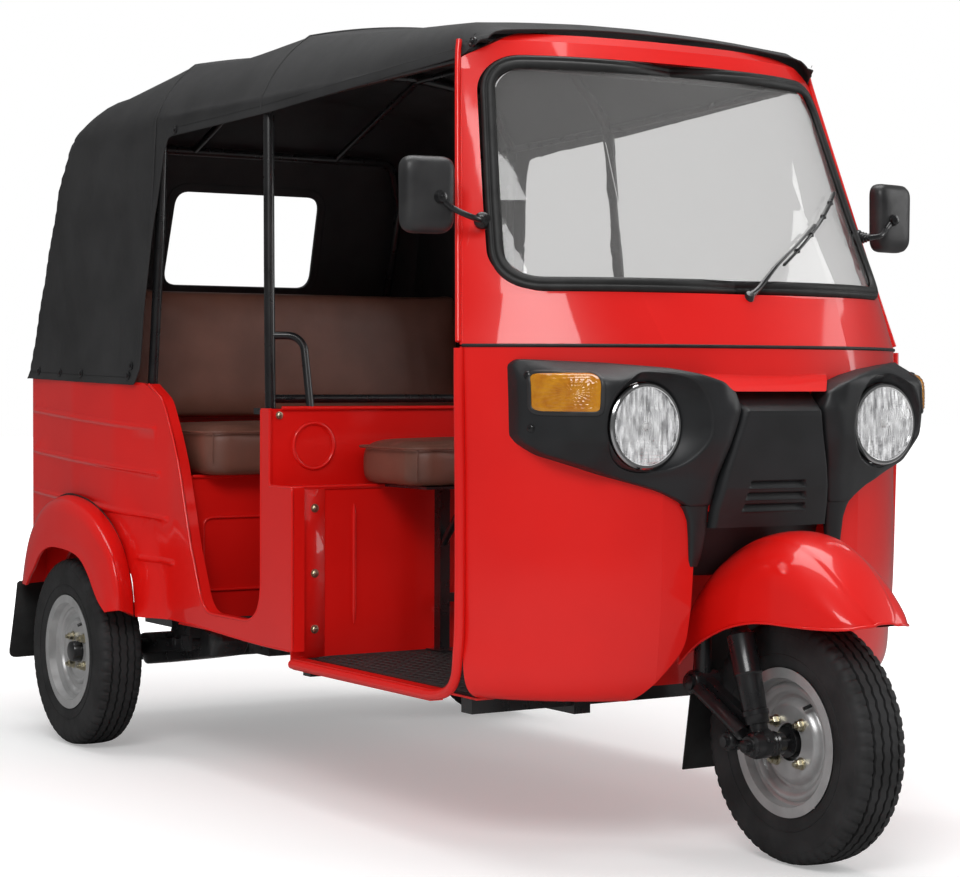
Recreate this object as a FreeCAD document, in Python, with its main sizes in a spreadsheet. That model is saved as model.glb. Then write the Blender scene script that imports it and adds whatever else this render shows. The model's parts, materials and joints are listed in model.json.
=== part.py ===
import FreeCAD, Part
import math
import os
import Sketcher

# Auto rickshaw: three wheels, steel front cowl, open sides, canvas canopy.
# Millimetres.  +X is the vehicle's left, -Y the front, +Z up; the ground is Z = 0.

os.makedirs("parts", exist_ok=True)
doc = FreeCAD.newDocument("AutoRickshaw")
sheet = doc.addObject("Spreadsheet::Sheet", "Dims")

DIMENSIONS = (
    # wheels
    ("front_axle_y", -1150),
    ("wheelbase", 2125),
    ("tyre_radius", 240),
    ("tyre_half_width", 58),
    ("rim_radius", 143),
    ("rim_half_width", 50),
    ("rear_half_track", 608),
    ("axle_pin_radius", 10),
    ("pin_clearance", 0.5),
    # steering
    ("steer_rake", 22),
    ("steer_ground_y", -1180),
    ("stem_radius", 17),
    ("head_tube_radius", 34),
    ("fork_side_x", 100),
    ("fork_tube_radius", 15),
    ("link_pivot_y", -955),
    ("link_pivot_z", 341),
    # shell and panels
    ("shell_wall", 5),
    ("pillar_depth", 24),
    ("panel_wall", 4),
    ("seam_height", 1012),
    ("seam_gap", 4),
    ("arch_half_width", 186),
    ("arch_height", 690),
    ("bulkhead_y", -760),
    ("glass_thickness", 5),
    ("seal_lip", 8),
    ("lamp_x", 304),
    ("lamp_z", 855),
    ("lamp_face_y", -1040),
    ("lamp_radius", 84),
    # cabin
    ("cabin_half_width", 540),
    ("sill_bottom", 294),
    ("sill_top", 318),
    ("floor_top", 312),
    ("mat_thickness", 4),
    ("rear_floor_top", 346),
    ("partition_low_y", -20),
    ("partition_high_y", 82),
    ("partition_ledge", 700),
    ("partition_top", 875),
    ("side_panel_front_y", -35),
    ("rocker_bottom", 333),
    ("waist_height", 948),
    ("waist_fall", 16),
    ("rear_half_width", 590),
    ("rear_face_y", 1400),
    ("seat_base_y", 570),
    ("seat_deck", 704),
    # chassis
    ("beam_half_gauge", 250),
    ("beam_width", 40),
    ("beam_bottom", 262),
    ("beam_top", 308),
    ("arm_pivot_y", 560),
    ("arm_pivot_z", 300),
    ("arm_x", 490),
    ("tow_eye_radius", 10),
    ("plate_bolt_half_gap", 120),
    ("plate_bolt_radius", 3),
    # canopy
    ("canopy_wall", 4),
    ("tube_radius", 12.5),
    ("soft_clearance", 0.4),
    ("eave_height", 1556),
    ("canopy_hem", 942),
    # seats
    ("driver_seat_half", 350),
    ("bench_half", 500),
    # rear lid
    ("lid_half_width", 330),
    ("lid_bottom", 480),
    ("lid_top", 845),
    ("lid_gap", 6),
)
for row, (alias, number) in enumerate(DIMENSIONS, start=1):
    sheet.set("A%d" % row, alias)
    sheet.set("B%d" % row, str(number))
    sheet.setAlias("B%d" % row, alias)
doc.recompute()


class Size(float):
    """A number that remembers the spreadsheet expression it comes from."""

    def __new__(cls, number, text):
        item = float.__new__(cls, number)
        item.text = text
        return item

    def __add__(self, other):
        return Size(float(self) + float(other), "(%s + %s)" % (self.text, wording(other)))

    def __radd__(self, other):
        return Size(float(other) + float(self), "(%s + %s)" % (wording(other), self.text))

    def __sub__(self, other):
        return Size(float(self) - float(other), "(%s - %s)" % (self.text, wording(other)))

    def __rsub__(self, other):
        return Size(float(other) - float(self), "(%s - %s)" % (wording(other), self.text))

    def __mul__(self, other):
        return Size(float(self) * float(other), "(%s * %s)" % (self.text, wording(other)))

    def __rmul__(self, other):
        return Size(float(other) * float(self), "(%s * %s)" % (wording(other), self.text))

    def __neg__(self):
        return Size(-float(self), "(-1 * %s)" % self.text)


def wording(number):
    return number.text if isinstance(number, Size) else repr(float(number))


def dim(alias):
    return Size(float(sheet.get(alias)), "Dims." + alias)


def vec(x, y, z):
    return FreeCAD.Vector(float(x), float(y), float(z))


# ---------------------------------------------------------------- document helpers

NODES = []


def register(item, label):
    item.Label = label
    NODES.append(item)
    return item


def shape_node(label, shape):
    item = doc.addObject("Part::Feature", label)
    item.Shape = shape
    item.Placement = FreeCAD.Placement()
    return register(item, label)


def new_body(label):
    return register(doc.addObject("PartDesign::Body", label), label)


def gathered(label, items):
    """One node made of several bodies that do not touch."""
    group = doc.addObject("Part::Compound", label)
    group.Links = items
    for item in items:
        item.Label = item.Name + "_solid"
        NODES.remove(item)
    return register(group, label)


def origin_part(body, role):
    for item in body.Origin.OriginFeatures:
        if item.Role == role:
            return item
    raise ValueError(role)


def sketch_on(body, role, name):
    sketch = body.newObject("Sketcher::SketchObject", name)
    sketch.AttachmentSupport = [(origin_part(body, role), "")]
    sketch.MapMode = "FlatFace"
    return sketch


def bound_polygon(sketch, corners):
    """Closed polygon with every corner's two distances bound to the sheet."""
    first = sketch.GeometryCount
    count = len(corners)
    for index, corner in enumerate(corners):
        following = corners[(index + 1) % count]
        start = vec(corner[0], corner[1], 0)
        finish = vec(following[0], following[1], 0)
        sketch.addGeometry(Part.LineSegment(start, finish), False)
    for index in range(count):
        after = first + (index + 1) % count
        sketch.addConstraint(Sketcher.Constraint("Coincident", first + index, 2, after, 1))
    for index, corner in enumerate(corners):
        for kind, axis, value in (("DistanceX", -2, corner[0]), ("DistanceY", -1, corner[1])):
            if abs(float(value)) < 1e-9:
                rule = Sketcher.Constraint("PointOnObject", first + index, 1, axis)
                sketch.addConstraint(rule)
                continue
            rule = Sketcher.Constraint(kind, -1, 1, first + index, 1, float(value))
            number = sketch.addConstraint(rule)
            if isinstance(value, Size):
                sketch.setExpression("Constraints[%d]" % number, value.text)


def place(item, x, y, z, axis=None, angle=0):
    turn = FreeCAD.Rotation(axis, angle) if axis else FreeCAD.Rotation()
    item.Placement = FreeCAD.Placement(vec(x, y, z), turn)
    for letter, value in (("x", x), ("y", y), ("z", z)):
        if isinstance(value, Size):
            item.setExpression("Placement.Base." + letter, value.text)


def revolved(label, corners, x, y, z):
    """Body turned about its own X axis from a profile of (along axis, radius)."""
    body = new_body(label)
    sketch = sketch_on(body, "XY_Plane", label + "_profile")
    bound_polygon(sketch, corners)
    turned = body.newObject("PartDesign::Revolution", label + "_turned")
    turned.Profile = sketch
    turned.ReferenceAxis = (sketch, ["H_Axis"])
    turned.Angle = 360
    sketch.Visibility = False
    place(body, x, y, z)
    doc.recompute()
    return body


def extruded(label, role, corners, length, x=0, y=0, z=0, symmetric=True):
    """Body padded from a polygon on one of its origin planes."""
    body = new_body(label)
    sketch = sketch_on(body, role, label + "_outline")
    bound_polygon(sketch, corners)
    pad = body.newObject("PartDesign::Pad", label + "_pad")
    pad.Profile = sketch
    pad.Length = float(length)
    if isinstance(length, Size):
        pad.setExpression("Length", length.text)
    if symmetric:
        if hasattr(pad, "SideType"):
            pad.SideType = "Symmetric"
        else:
            pad.Midplane = True
    place(body, x, y, z)
    doc.recompute()
    return body


def pocketed(body, role, corners, name, reach=4000):
    """Cut a polygon right through a body, both ways from an origin plane."""
    before = body.Shape.Volume
    sketch = sketch_on(body, role, name + "_outline")
    bound_polygon(sketch, corners)
    pocket = body.newObject("PartDesign::Pocket", name)
    pocket.Profile = sketch
    pocket.Length = reach
    if hasattr(pocket, "SideType"):
        pocket.SideType = "Symmetric"
    else:
        pocket.Midplane = True
    doc.recompute()
    if not body.Shape.Volume < before - 1:
        raise ValueError("pocket cut nothing: " + name)
    return pocket


def drilled(body, role, x, y, radius, name, reach=4000):
    """Round hole right through a body, both ways from an origin plane."""
    before = body.Shape.Volume
    sketch = sketch_on(body, role, name + "_circle")
    ring = sketch.addGeometry(Part.Circle(vec(x, y, 0), vec(0, 0, 1), float(radius)), False)
    for kind, value in (("DistanceX", x), ("DistanceY", y)):
        number = sketch.addConstraint(Sketcher.Constraint(kind, -1, 1, ring, 3, float(value)))
        if isinstance(value, Size):
            sketch.setExpression("Constraints[%d]" % number, value.text)
    number = sketch.addConstraint(Sketcher.Constraint("Radius", ring, float(radius)))
    if isinstance(radius, Size):
        sketch.setExpression("Constraints[%d]" % number, radius.text)
    pocket = body.newObject("PartDesign::Pocket", name)
    pocket.Profile = sketch
    pocket.Length = reach
    if hasattr(pocket, "SideType"):
        pocket.SideType = "Symmetric"
    else:
        pocket.Midplane = True
    doc.recompute()
    if not body.Shape.Volume < before - 1:
        raise ValueError("hole cut nothing: " + name)
    return pocket


def rounded(body, radius, choose, name):
    """Fillet the edges of a body picked by a test on each edge."""
    doc.recompute()
    edges = body.Tip.Shape.Edges
    names = ["Edge%d" % (number + 1) for number, edge in enumerate(edges) if choose(edge)]
    fillet = body.newObject("PartDesign::Fillet", name)
    fillet.Base = (body.Tip if body.Tip != fillet else fillet.BaseFeature, names)
    fillet.Radius = float(radius)
    if isinstance(radius, Size):
        fillet.setExpression("Radius", radius.text)
    doc.recompute()
    return fillet


# ---------------------------------------------------------------- shape helpers


def box(x_low, x_high, y_low, y_high, z_low, z_high):
    size_x = float(x_high) - float(x_low)
    size_y = float(y_high) - float(y_low)
    size_z = float(z_high) - float(z_low)
    return Part.makeBox(size_x, size_y, size_z, vec(x_low, y_low, z_low))


def both_sides(shape):
    """The shape and its mirror image across the centre plane."""
    return shape.fuse(shape.mirror(vec(0, 0, 0), vec(1, 0, 0)))


def mirrored(shape):
    return shape.mirror(vec(0, 0, 0), vec(1, 0, 0))


def rod(start, finish, radius):
    return Part.makeCylinder(float(radius), (finish - start).Length, start, finish - start)


def joined(shapes):
    result = shapes[0].multiFuse(shapes[1:]) if len(shapes) > 1 else shapes[0]
    return result.removeSplitter()


def closed_wire(points):
    return Part.makePolygon(list(points) + [points[0]])


def rounded_edges(points, radius, closed):
    """Edges through the points with every inner corner turned into an arc."""
    count = len(points)
    corners = range(count) if closed else range(1, count - 1)
    starts = {}
    ends = {}
    arcs = {}
    for index in corners:
        here = points[index]
        back = (points[index - 1] - here)
        ahead = (points[(index + 1) % count] - here)
        reach_back = back.Length
        reach_ahead = ahead.Length
        back = back / reach_back
        ahead = ahead / reach_ahead
        angle = back.getAngle(ahead)
        size = radius[index] if isinstance(radius, (list, tuple)) else radius
        if size <= 0 or abs(angle - math.pi) < 1e-4:
            continue
        setback = min(size / math.tan(angle / 2), 0.49 * reach_back, 0.49 * reach_ahead)
        size = setback * math.tan(angle / 2)
        middle = (back + ahead) / (back + ahead).Length
        centre = here + middle * (size / math.sin(angle / 2))
        ends[index] = here + back * setback
        starts[index] = here + ahead * setback
        arcs[index] = Part.Arc(ends[index], centre - middle * size, starts[index]).toShape()
    edges = []
    legs = range(count) if closed else range(count - 1)
    for index in legs:
        after = (index + 1) % count
        begin = starts.get(index, points[index])
        finish = ends.get(after, points[after])
        if (finish - begin).Length > 1e-6:
            edges.append(Part.LineSegment(begin, finish).toShape())
        if after in arcs:
            edges.append(arcs[after])
    return edges


def tube(points, radius, bend=40):
    """Round bar along a path of straights joined by tangent bends."""
    path = Part.Wire(rounded_edges(points, bend, False))
    direction = points[1] - points[0]
    ring = Part.Wire([Part.makeCircle(float(radius), points[0], direction)])
    return path.makePipeShell([ring], True, True)


def side_prism(points, x_low, x_high, radius=0):
    """Prism along X from a (Y, Z) outline."""
    corners = [vec(x_low, y, z) for y, z in points]
    face = Part.Face(Part.Wire(rounded_edges(corners, radius, True)))
    return face.extrude(vec(float(x_high) - float(x_low), 0, 0))


def front_prism(points, y_low, y_high, radius=0):
    """Prism along Y from an (X, Z) outline."""
    corners = [vec(x, y_low, z) for x, z in points]
    face = Part.Face(Part.Wire(rounded_edges(corners, radius, True)))
    return face.extrude(vec(0, float(y_high) - float(y_low), 0))


def plan_prism(points, z_low, z_high, radius=0):
    """Prism along Z from an (X, Y) outline."""
    corners = [vec(x, y, z_low) for x, y in points]
    face = Part.Face(Part.Wire(rounded_edges(corners, radius, True)))
    return face.extrude(vec(0, 0, float(z_high) - float(z_low)))


def symmetric_outline(half):
    """Full outline from its right-hand half, listed top to bottom, without centre points."""
    return [(x, z) for x, z in half] + [(-x, z) for x, z in reversed(half)]


# ---------------------------------------------------------------- wheels

axle_z = dim("tyre_radius")
rear_axle_y = dim("front_axle_y") + dim("wheelbase")
rim_r = dim("rim_radius")
rim_w = dim("rim_half_width")
tyre_r = dim("tyre_radius")
tyre_w = dim("tyre_half_width")
pin_r = dim("axle_pin_radius")

WHEELS = (
    # name, axle x, axle y, outward side
    ("front", 0.0, dim("front_axle_y"), -1),
    ("rear_left", dim("rear_half_track"), rear_axle_y, 1),
    ("rear_right", -dim("rear_half_track"), rear_axle_y, -1),
)

TREAD_PITCHES = 72
TYRE_HALF_SECTION = (
    # across the tyre from the middle, down from the tread
    (tyre_w - 36, 0), (tyre_w - 16, 5), (tyre_w - 5, 15), (tyre_w, 38), (tyre_w - 3, 66), (rim_w + 3, 88),
)


def tyre_ring(x, radius):
    """One closed ring round the axle, flat-sided with a corner for each tread pitch."""
    turns = [2 * math.pi * pitch / TREAD_PITCHES for pitch in range(TREAD_PITCHES)]
    return closed_wire([vec(x, radius * math.sin(turn), -radius * math.cos(turn)) for turn in turns])


def tyre_solid():
    section = [(-x, tyre_r - drop) for x, drop in reversed(TYRE_HALF_SECTION)]
    section += [(x, tyre_r - drop) for x, drop in TYRE_HALF_SECTION]
    rings = [tyre_ring(x, radius) for x, radius in [(-rim_w, rim_r + 3)] + section + [(rim_w, rim_r + 3)]]
    return Part.makeLoft(rings, True, True).cut(rod(vec(-200, 0, 0), vec(200, 0, 0), rim_r))


for name, wheel_x, wheel_y, side in WHEELS:
    tyre = shape_node(name + "_tyre", tyre_solid())
    tyre.Placement = FreeCAD.Placement(vec(wheel_x, wheel_y, axle_z), FreeCAD.Rotation())

    # pressed-steel rim: bead seats, well and a dished disc
    rim_profile = [
        (-rim_w - 3, rim_r), (-rim_w - 3, rim_r + 3), (-rim_w, rim_r + 3 - 3), (-rim_w, rim_r - 14),
        (-rim_w + 18, rim_r - 16), (-rim_w + 24, rim_r - 28), (-4, rim_r - 28),
        (4, rim_r - 28), (rim_w - 24, rim_r - 28), (rim_w - 18, rim_r - 16), (rim_w, rim_r - 14),
        (rim_w, rim_r), (rim_w + 3, rim_r + 3), (rim_w + 3, rim_r),
        (rim_w + 3, rim_r - 17), (rim_w - 16, rim_r - 20), (rim_w - 22, rim_r - 31),
        (14, rim_r - 31), (20, 96), (16, 84), (4, 70), (0, 60), (0, 30),
        (-4, 30), (-4, 62), (0, 73), (12, 88), (13, 95), (4, rim_r - 31),
        (-rim_w + 22, rim_r - 31), (-rim_w + 16, rim_r - 20), (-rim_w - 3, rim_r - 17),
    ]
    if side < 0:
        rim_profile = [(-x, r) for x, r in reversed(rim_profile)]
    revolved(name + "_rim", rim_profile, wheel_x, wheel_y, axle_z)

collar_x = 388
# hubs: brake drum on the carrier side, flange face on the rim disc, bore for the axle
hub_bore = pin_r + dim("pin_clearance")
front_hub = revolved(
    "front_hub",
    [
        (-46, hub_bore), (-46, 30), (-20, 30), (-20, 29.5), (44, 29.5), (44, 22), (50, 22), (50, hub_bore),
    ],
    0.0, dim("front_axle_y"), axle_z,
)

# rear hubs with brake drum, axle stub and half shaft
for name, wheel_x, wheel_y, side in WHEELS[1:]:
    inward = -side
    hub_profile = [
        (inward * 490, 0), (inward * 490, 11), (inward * 430, 11), (inward * 430, 30),
        (inward * collar_x, 30), (inward * collar_x, 12), (inward * 178, 12), (inward * 178, 30),
        (inward * 160, 30), (inward * 160, 16),
        (inward * 44, 16), (inward * 44, 84), (inward * 6, 84),
        (inward * 6, 62), (inward * 4, 62), (inward * 4, 29.5), (-inward * 22, 29.5), (-inward * 22, 0),
    ]
    revolved(name + "_hub", hub_profile, wheel_x, wheel_y, axle_z)

# ---------------------------------------------------------------- front body form

# Level sections of the cowl: rear corner, a point on the side curve, the front
# corner and the middle of the front, listed bottom to top.
COWL_LEVELS = (
    # height, rear x, rear y, side x, side y, corner x, corner y, centre y
    (312, 500, -755, 405, -868, 236, -958, -972),
    (328, 530, -760, 436, -880, 244, -984, -1000),
    (370, 545, -764, 450, -888, 250, -1002, -1018),
    (480, 551, -768, 458, -892, 250, -1014, -1030),
    (700, 557, -772, 461, -893, 250, -1020, -1036),
    (900, 562, -775, 459, -890, 242, -1016, -1031),
    (1012, 564, -777, 455, -885, 232, -1002, -1018),
)
UPPER_LEVELS = (
    (1012, 564, -777, 455, -885, 232, -1002, -1018),
    (1112, 546, -747, 466, -838, 250, -945, -966),
    (1300, 513, -692, 436, -765, 240, -858, -882),
    (1574, 466, -613, 398, -668, 220, -732, -748),
    (1634, 456, -600, 380, -645, 205, -698, -712),
    (1654, 440, -590, 360, -620, 190, -668, -680),
)


def circle_through(first, second, third):
    circle = Part.Arc(first, second, third).toShape().Curve
    return circle.Center, circle.Radius


def moved_out(point, centre, radius, offset):
    return centre + (point - centre) * ((radius + offset) / radius)


def level_wire(level, offset=0.0, tail=0.0, height=None):
    """One horizontal section, offset outwards and run back by a tail."""
    z, rear_x, rear_y, side_x, side_y, corner_x, corner_y, centre_y = level
    z = z if height is None else height
    rear = vec(rear_x, rear_y, z)
    side = vec(side_x, side_y, z)
    corner = vec(corner_x, corner_y, z)
    centre, radius = circle_through(rear, side, corner)
    rear = moved_out(rear, centre, radius, offset)
    side = moved_out(side, centre, radius, offset)
    corner = moved_out(corner, centre, radius, offset)
    front = vec(0, centre_y - offset, z)
    flip = lambda point: vec(-point.x, point.y, point.z)
    edges = [
        Part.Arc(rear, side, corner).toShape(),
        Part.Arc(corner, front, flip(corner)).toShape(),
        Part.Arc(flip(corner), flip(side), flip(rear)).toShape(),
    ]
    if tail > 0:
        back = vec(rear.x, rear.y + tail, z)
        edges.append(Part.LineSegment(flip(rear), flip(back)).toShape())
        edges.append(Part.LineSegment(flip(back), back).toShape())
        edges.append(Part.LineSegment(back, rear).toShape())
    else:
        edges.append(Part.LineSegment(flip(rear), rear).toShape())
    return Part.Wire(edges)


def cowl_solid(levels, offsets=0.0, tail=0.0, below=0.0, above=0.0):
    """Loft through the level sections; ends may be run on for cutting."""
    ruled = levels[-1][0] > COWL_LEVELS[-1][0]
    offsets = offsets if isinstance(offsets, (list, tuple)) else [offsets] * len(levels)
    wires = [level_wire(level, offset, tail) for level, offset in zip(levels, offsets)]
    solid = Part.makeLoft(wires, True, ruled)
    pieces = [solid]
    if below > 0:
        bottom = Part.Face(level_wire(levels[0], offsets[0], tail))
        pieces.append(bottom.extrude(vec(0, 0, -below)))
    if above > 0:
        top = Part.Face(level_wire(levels[-1], offsets[-1], tail))
        pieces.append(top.extrude(vec(0, 0, above)))
    return pieces[0].multiFuse(pieces[1:]) if len(pieces) > 1 else solid


wall = dim("shell_wall")
arch_w = dim("arch_half_width")
arch_z = dim("arch_height")
bulkhead_y = dim("bulkhead_y")


def arch_outline(grow):
    """Front view of the wheel arch, flared at its feet."""
    half = [
        (arch_w - 6 + grow, arch_z + grow), (arch_w + grow, arch_z - 190), (arch_w + 8 + grow, 420),
        (arch_w + 110 + grow, 300), (arch_w + 110 + grow, 240),
    ]
    return symmetric_outline(half)


ARCH_BENDS = (30, 200, 90, 0, 0, 0, 0, 90, 200, 30)


def arch_prism(grow, y_low, y_high):
    return front_prism(arch_outline(grow), y_low, y_high, ARCH_BENDS)


cowl_outer = cowl_solid(COWL_LEVELS)
cowl_inner = cowl_solid(COWL_LEVELS, -wall, 60, 40, 40)
lower_top = dim("seam_height") - dim("seam_gap")
front_shell = cowl_outer.cut(cowl_inner).cut(arch_prism(0, -1200, bulkhead_y - 40))
front_shell = front_shell.cut(box(-700, 700, -1300, -500, lower_top, 1100))
lamp_x = dim("lamp_x")
lamp_z = dim("lamp_z")
lamp_y = dim("lamp_face_y")
lamp_r = dim("lamp_radius")
lamp_hole = rod(vec(lamp_x, -1150, lamp_z), vec(lamp_x, -900, lamp_z), lamp_r + 0.5)
front_shell = front_shell.cut(both_sides(lamp_hole))
# pressed ledge that runs out to the top of the mask's centre panel
ledge_form = side_prism([(-1000, 962), (-1023, 956), (-1033, 948), (-1074, 922), (-1000, 922)], -165, 165)
ledge_outline = front_prism(
    symmetric_outline([(165, 962), (150, 945.5), (118, 923.5), (112, 922)]), -1300, -900)
front_shell = joined([front_shell, ledge_form.common(ledge_outline).cut(cowl_outer)])
shape_node("front_shell", front_shell)

# rubber strip in the seam between the lower shell and the upper cowl
strip = cowl_solid(COWL_LEVELS[-2:], [2, 2]).cut(cowl_solid(COWL_LEVELS[-2:], [-wall, -wall], 60, 40, 40))
strip = strip.common(box(-700, 700, -1300, -500, lower_top, float(dim("seam_height"))))

# wheel arch liner and bulkhead behind the front wheel
liner = arch_prism(0, -1200, bulkhead_y).cut(arch_prism(-4, -1300, bulkhead_y - 4))
liner = liner.common(cowl_solid(COWL_LEVELS, 0, 60, 0, 0))
liner = liner.common(box(-700, 700, -1300, 0, float(dim("floor_top")), 1000))

# ---------------------------------------------------------------- upper cowl and windscreen

pillar = dim("pillar_depth")
GLASS_OUTLINE = ((407, 1574), (478, 1145))
SEAL_WIDTH = 29


def screen_outline(grow):
    """Windscreen outline in front view: top and bottom corners of one side."""
    (top_x, top_z), (low_x, low_z) = GLASS_OUTLINE
    return symmetric_outline([(top_x + grow, top_z + grow), (low_x + grow, low_z - grow)])


def screen_prism(grow):
    bend = 62 + grow
    return front_prism(screen_outline(grow), -1300, -500, (bend, bend * 0.8, bend * 0.8, bend))


HEADER_HALF = [(330, 1662), (474, 1592), (640, 950)]
header_form = front_prism(symmetric_outline(HEADER_HALF), -1300, -400, (260, 70, 0, 0, 70, 260))
upper_outer = cowl_solid(UPPER_LEVELS).common(header_form)
upper_inner = cowl_solid(UPPER_LEVELS[:-1], -pillar, 80, 40, 0)
upper_inner = upper_inner.cut(box(-700, 700, -1300, -300, 1634, 1800))
upper_cowl = upper_outer.cut(upper_inner).cut(screen_prism(SEAL_WIDTH))
shape_node("windscreen_frame", upper_cowl)

seal_form = cowl_solid(UPPER_LEVELS, dim("seal_lip")).cut(cowl_solid(UPPER_LEVELS, -pillar + 2, 80, 40, 40))
seal = seal_form.common(screen_prism(SEAL_WIDTH)).cut(screen_prism(0))
shape_node("cowl_seals", Part.makeCompound([strip, seal]))
glass_inset = 6
glass_inner = cowl_solid(UPPER_LEVELS, -glass_inset - dim("glass_thickness"), 80, 40, 40)
glass_form = cowl_solid(UPPER_LEVELS, -glass_inset).cut(glass_inner)
glass = glass_form.common(screen_prism(0))
shape_node("windscreen_glass", glass)

# ---------------------------------------------------------------- steering line

steer_slope = math.tan(math.radians(dim("steer_rake")))
steer_line = vec(0, math.sin(math.radians(dim("steer_rake"))), math.cos(math.radians(dim("steer_rake"))))


def steer_point(height):
    return vec(0, dim("steer_ground_y") + height * steer_slope, height)


head_low = 655
head_high = 925
head_r = dim("head_tube_radius")
stem_r = dim("stem_radius")

# wheel arch liner carries the head tube and its gussets to the bulkhead
rear_wall = arch_prism(0, bulkhead_y - 4, bulkhead_y)
rear_wall = rear_wall.common(box(-700, 700, -1300, 0, float(dim("floor_top")), 1000))
liner = liner.fuse(rear_wall).cut(rod(steer_point(600), steer_point(960), head_r))

head_tube = rod(steer_point(head_low), steer_point(head_high), head_r)
gusset = side_prism(
    [
        (steer_point(700).y + 8, 706), (steer_point(905).y + 8, 905), (bulkhead_y + 40, 880),
        (bulkhead_y + 40, 560), (bulkhead_y, 560), (bulkhead_y, 706),
    ],
    -20, 20,
)
head_bore = rod(steer_point(500), steer_point(1100), stem_r + dim("pin_clearance"))
shape_node("wheel_arch", joined([liner, head_tube, gusset]).cut(head_bore))

# ---------------------------------------------------------------- headlamp mask

def mask_prism(points, bends):
    return front_prism(symmetric_outline(points), -1300, -700, tuple(bends) + tuple(reversed(bends)))


MASK_HALF = [
    (118, 923), (150, 945), (197, 961), (254, 971), (357, 978), (498, 984), (508, 972), (506, 835),
    (497, 820), (470, 798), (363, 759), (262, 728), (214, 702), (195, 668), (190, 577), (167, 579),
    (154, 640), (150, 697), (136, 769), (114, 846), (104, 889),
]
MASK_BENDS = (8, 90, 90, 200, 300, 12, 8, 12, 20, 60, 300, 200, 60, 60, 8, 8, 80, 120, 200, 120, 20)
POD_ROWS = (
    # height, inner foot x, then how far forward the pod stands at each station
    (984, 150, (1050, 1056, 1045, 990, 936, 897, 868, 852)),
    (968, 140, (1060, 1078, 1074, 1040, 985, 945, 885, 862)),
    (945, 130, (1076, 1094, 1090, 1076, 1042, 990, 905, 868)),
    (885, 104, (1080, 1098, 1092, 1078, 1046, 992, 908, 870)),
    (830, 119, (1072, 1092, 1088, 1074, 1040, 985, 905, 868)),
    (790, 130, (1062, 1078, 1072, 1050, 1005, 945, 890, 862)),
    (755, 139, (1052, 1064, 1056, 1022, 968, 918, 878, 858)),
    (700, 150, (1042, 1050, 1044, 1010, 954, 912, 876, 856)),
    (560, 160, (1030, 1033, 1030, 1010, 954, 912, 876, 856)),
)
POD_STATIONS = (300, 398, 452, 488, 512)
FOOT_BAND = 22
SECOND_BAND = 62
mask_wall = 5


def pod_form(grow):
    """Left lamp pod as a block, its faces moved out by grow."""
    wires = []
    for height, foot_x, fronts in POD_ROWS:
        across = [foot_x, foot_x + FOOT_BAND, foot_x + SECOND_BAND] + list(POD_STATIONS)
        across[-1] = across[-1] + grow
        face = [vec(x, -front - grow, height) for x, front in zip(across, fronts)]
        back = [vec(across[-1], -790, height), vec(foot_x, -900, height)]
        wires.append(closed_wire(face + back))
    return Part.makeLoft(wires, True, True)


def half_outline_prism(points, bends):
    return front_prism(points, -1300, -700, bends)


def shrunk(points, inset):
    """The mask outline drawn in by an even wall, a corner at a time."""
    result = []
    for number, (x, z) in enumerate(points):
        before = vec(points[number - 1][0], 0, points[number - 1][1])
        after = vec(points[(number + 1) % len(points)][0], 0, points[(number + 1) % len(points)][1])
        along = (after - before) / (after - before).Length
        result.append((x + along.z * inset, z - along.x * inset))
    return result


cowl_cutter = cowl_solid(COWL_LEVELS, 0, 60, 20, 20)
INDICATOR_BOX = (402, 489, 880, 957)
ind_low_x, ind_high_x, ind_low_z, ind_high_z = INDICATOR_BOX
indicator_prism = front_prism(
    [(ind_low_x, ind_high_z), (ind_high_x, ind_high_z), (ind_high_x, ind_low_z), (ind_low_x, ind_low_z)],
    -1300, -700, 8)
bowl = Part.makeCone(lamp_r + 38, lamp_r + 0.5, 60, vec(lamp_x, lamp_y - 54, lamp_z), vec(0, 1, 0))
bowl_back = Part.makeCone(lamp_r + 43, lamp_r + 5.5, 60, vec(lamp_x, lamp_y - 54, lamp_z), vec(0, 1, 0))
bowl_sleeve = rod(vec(lamp_x, lamp_y, lamp_z), vec(lamp_x, -930, lamp_z), lamp_r + 5.5)
pod_outer = pod_form(0).common(half_outline_prism(MASK_HALF, MASK_BENDS)).cut(cowl_cutter)
hollow = pod_form(-mask_wall).common(half_outline_prism(shrunk(MASK_HALF, mask_wall), (6,) * len(MASK_HALF)))
hollow = hollow.cut(bowl_back).cut(bowl_sleeve).cut(indicator_prism)
hollow = hollow.common(box(0, 700, -1300, -700, 705, 980))
mask = pod_outer.cut(hollow).cut(bowl).cut(lamp_hole)
mask = mask.cut(indicator_prism.cut(pod_form(-8)))
mask = max(mask.cut(front_shell).Solids, key=lambda solid: solid.Volume)
shape_node("headlamp_mask", both_sides(mask))

# centre panel between the pods, leaning back to its foot, with three blind louvres
PANEL_HALF = [(113, 921), (99, 887), (109, 846), (131, 769), (145, 697), (148, 650), (60, 654)]
PANEL_BENDS = (4, 10, 60, 120, 60, 12, 200)
PANEL_SIDE = ((-1034, 921), (-1089, 884), (-1067, 732), (-1054, 685), (-1044, 640), (-960, 640), (-960, 921))
LOUVRES = (
    # half width, middle height
    (70, 738), (74, 715), (78, 692),
)


def panel_form(back):
    profile = [(y + back, z - 0.6 * back) for y, z in PANEL_SIDE]
    return side_prism(profile, -170, 170, (0, 10, 80, 80, 0, 0, 0))


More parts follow.
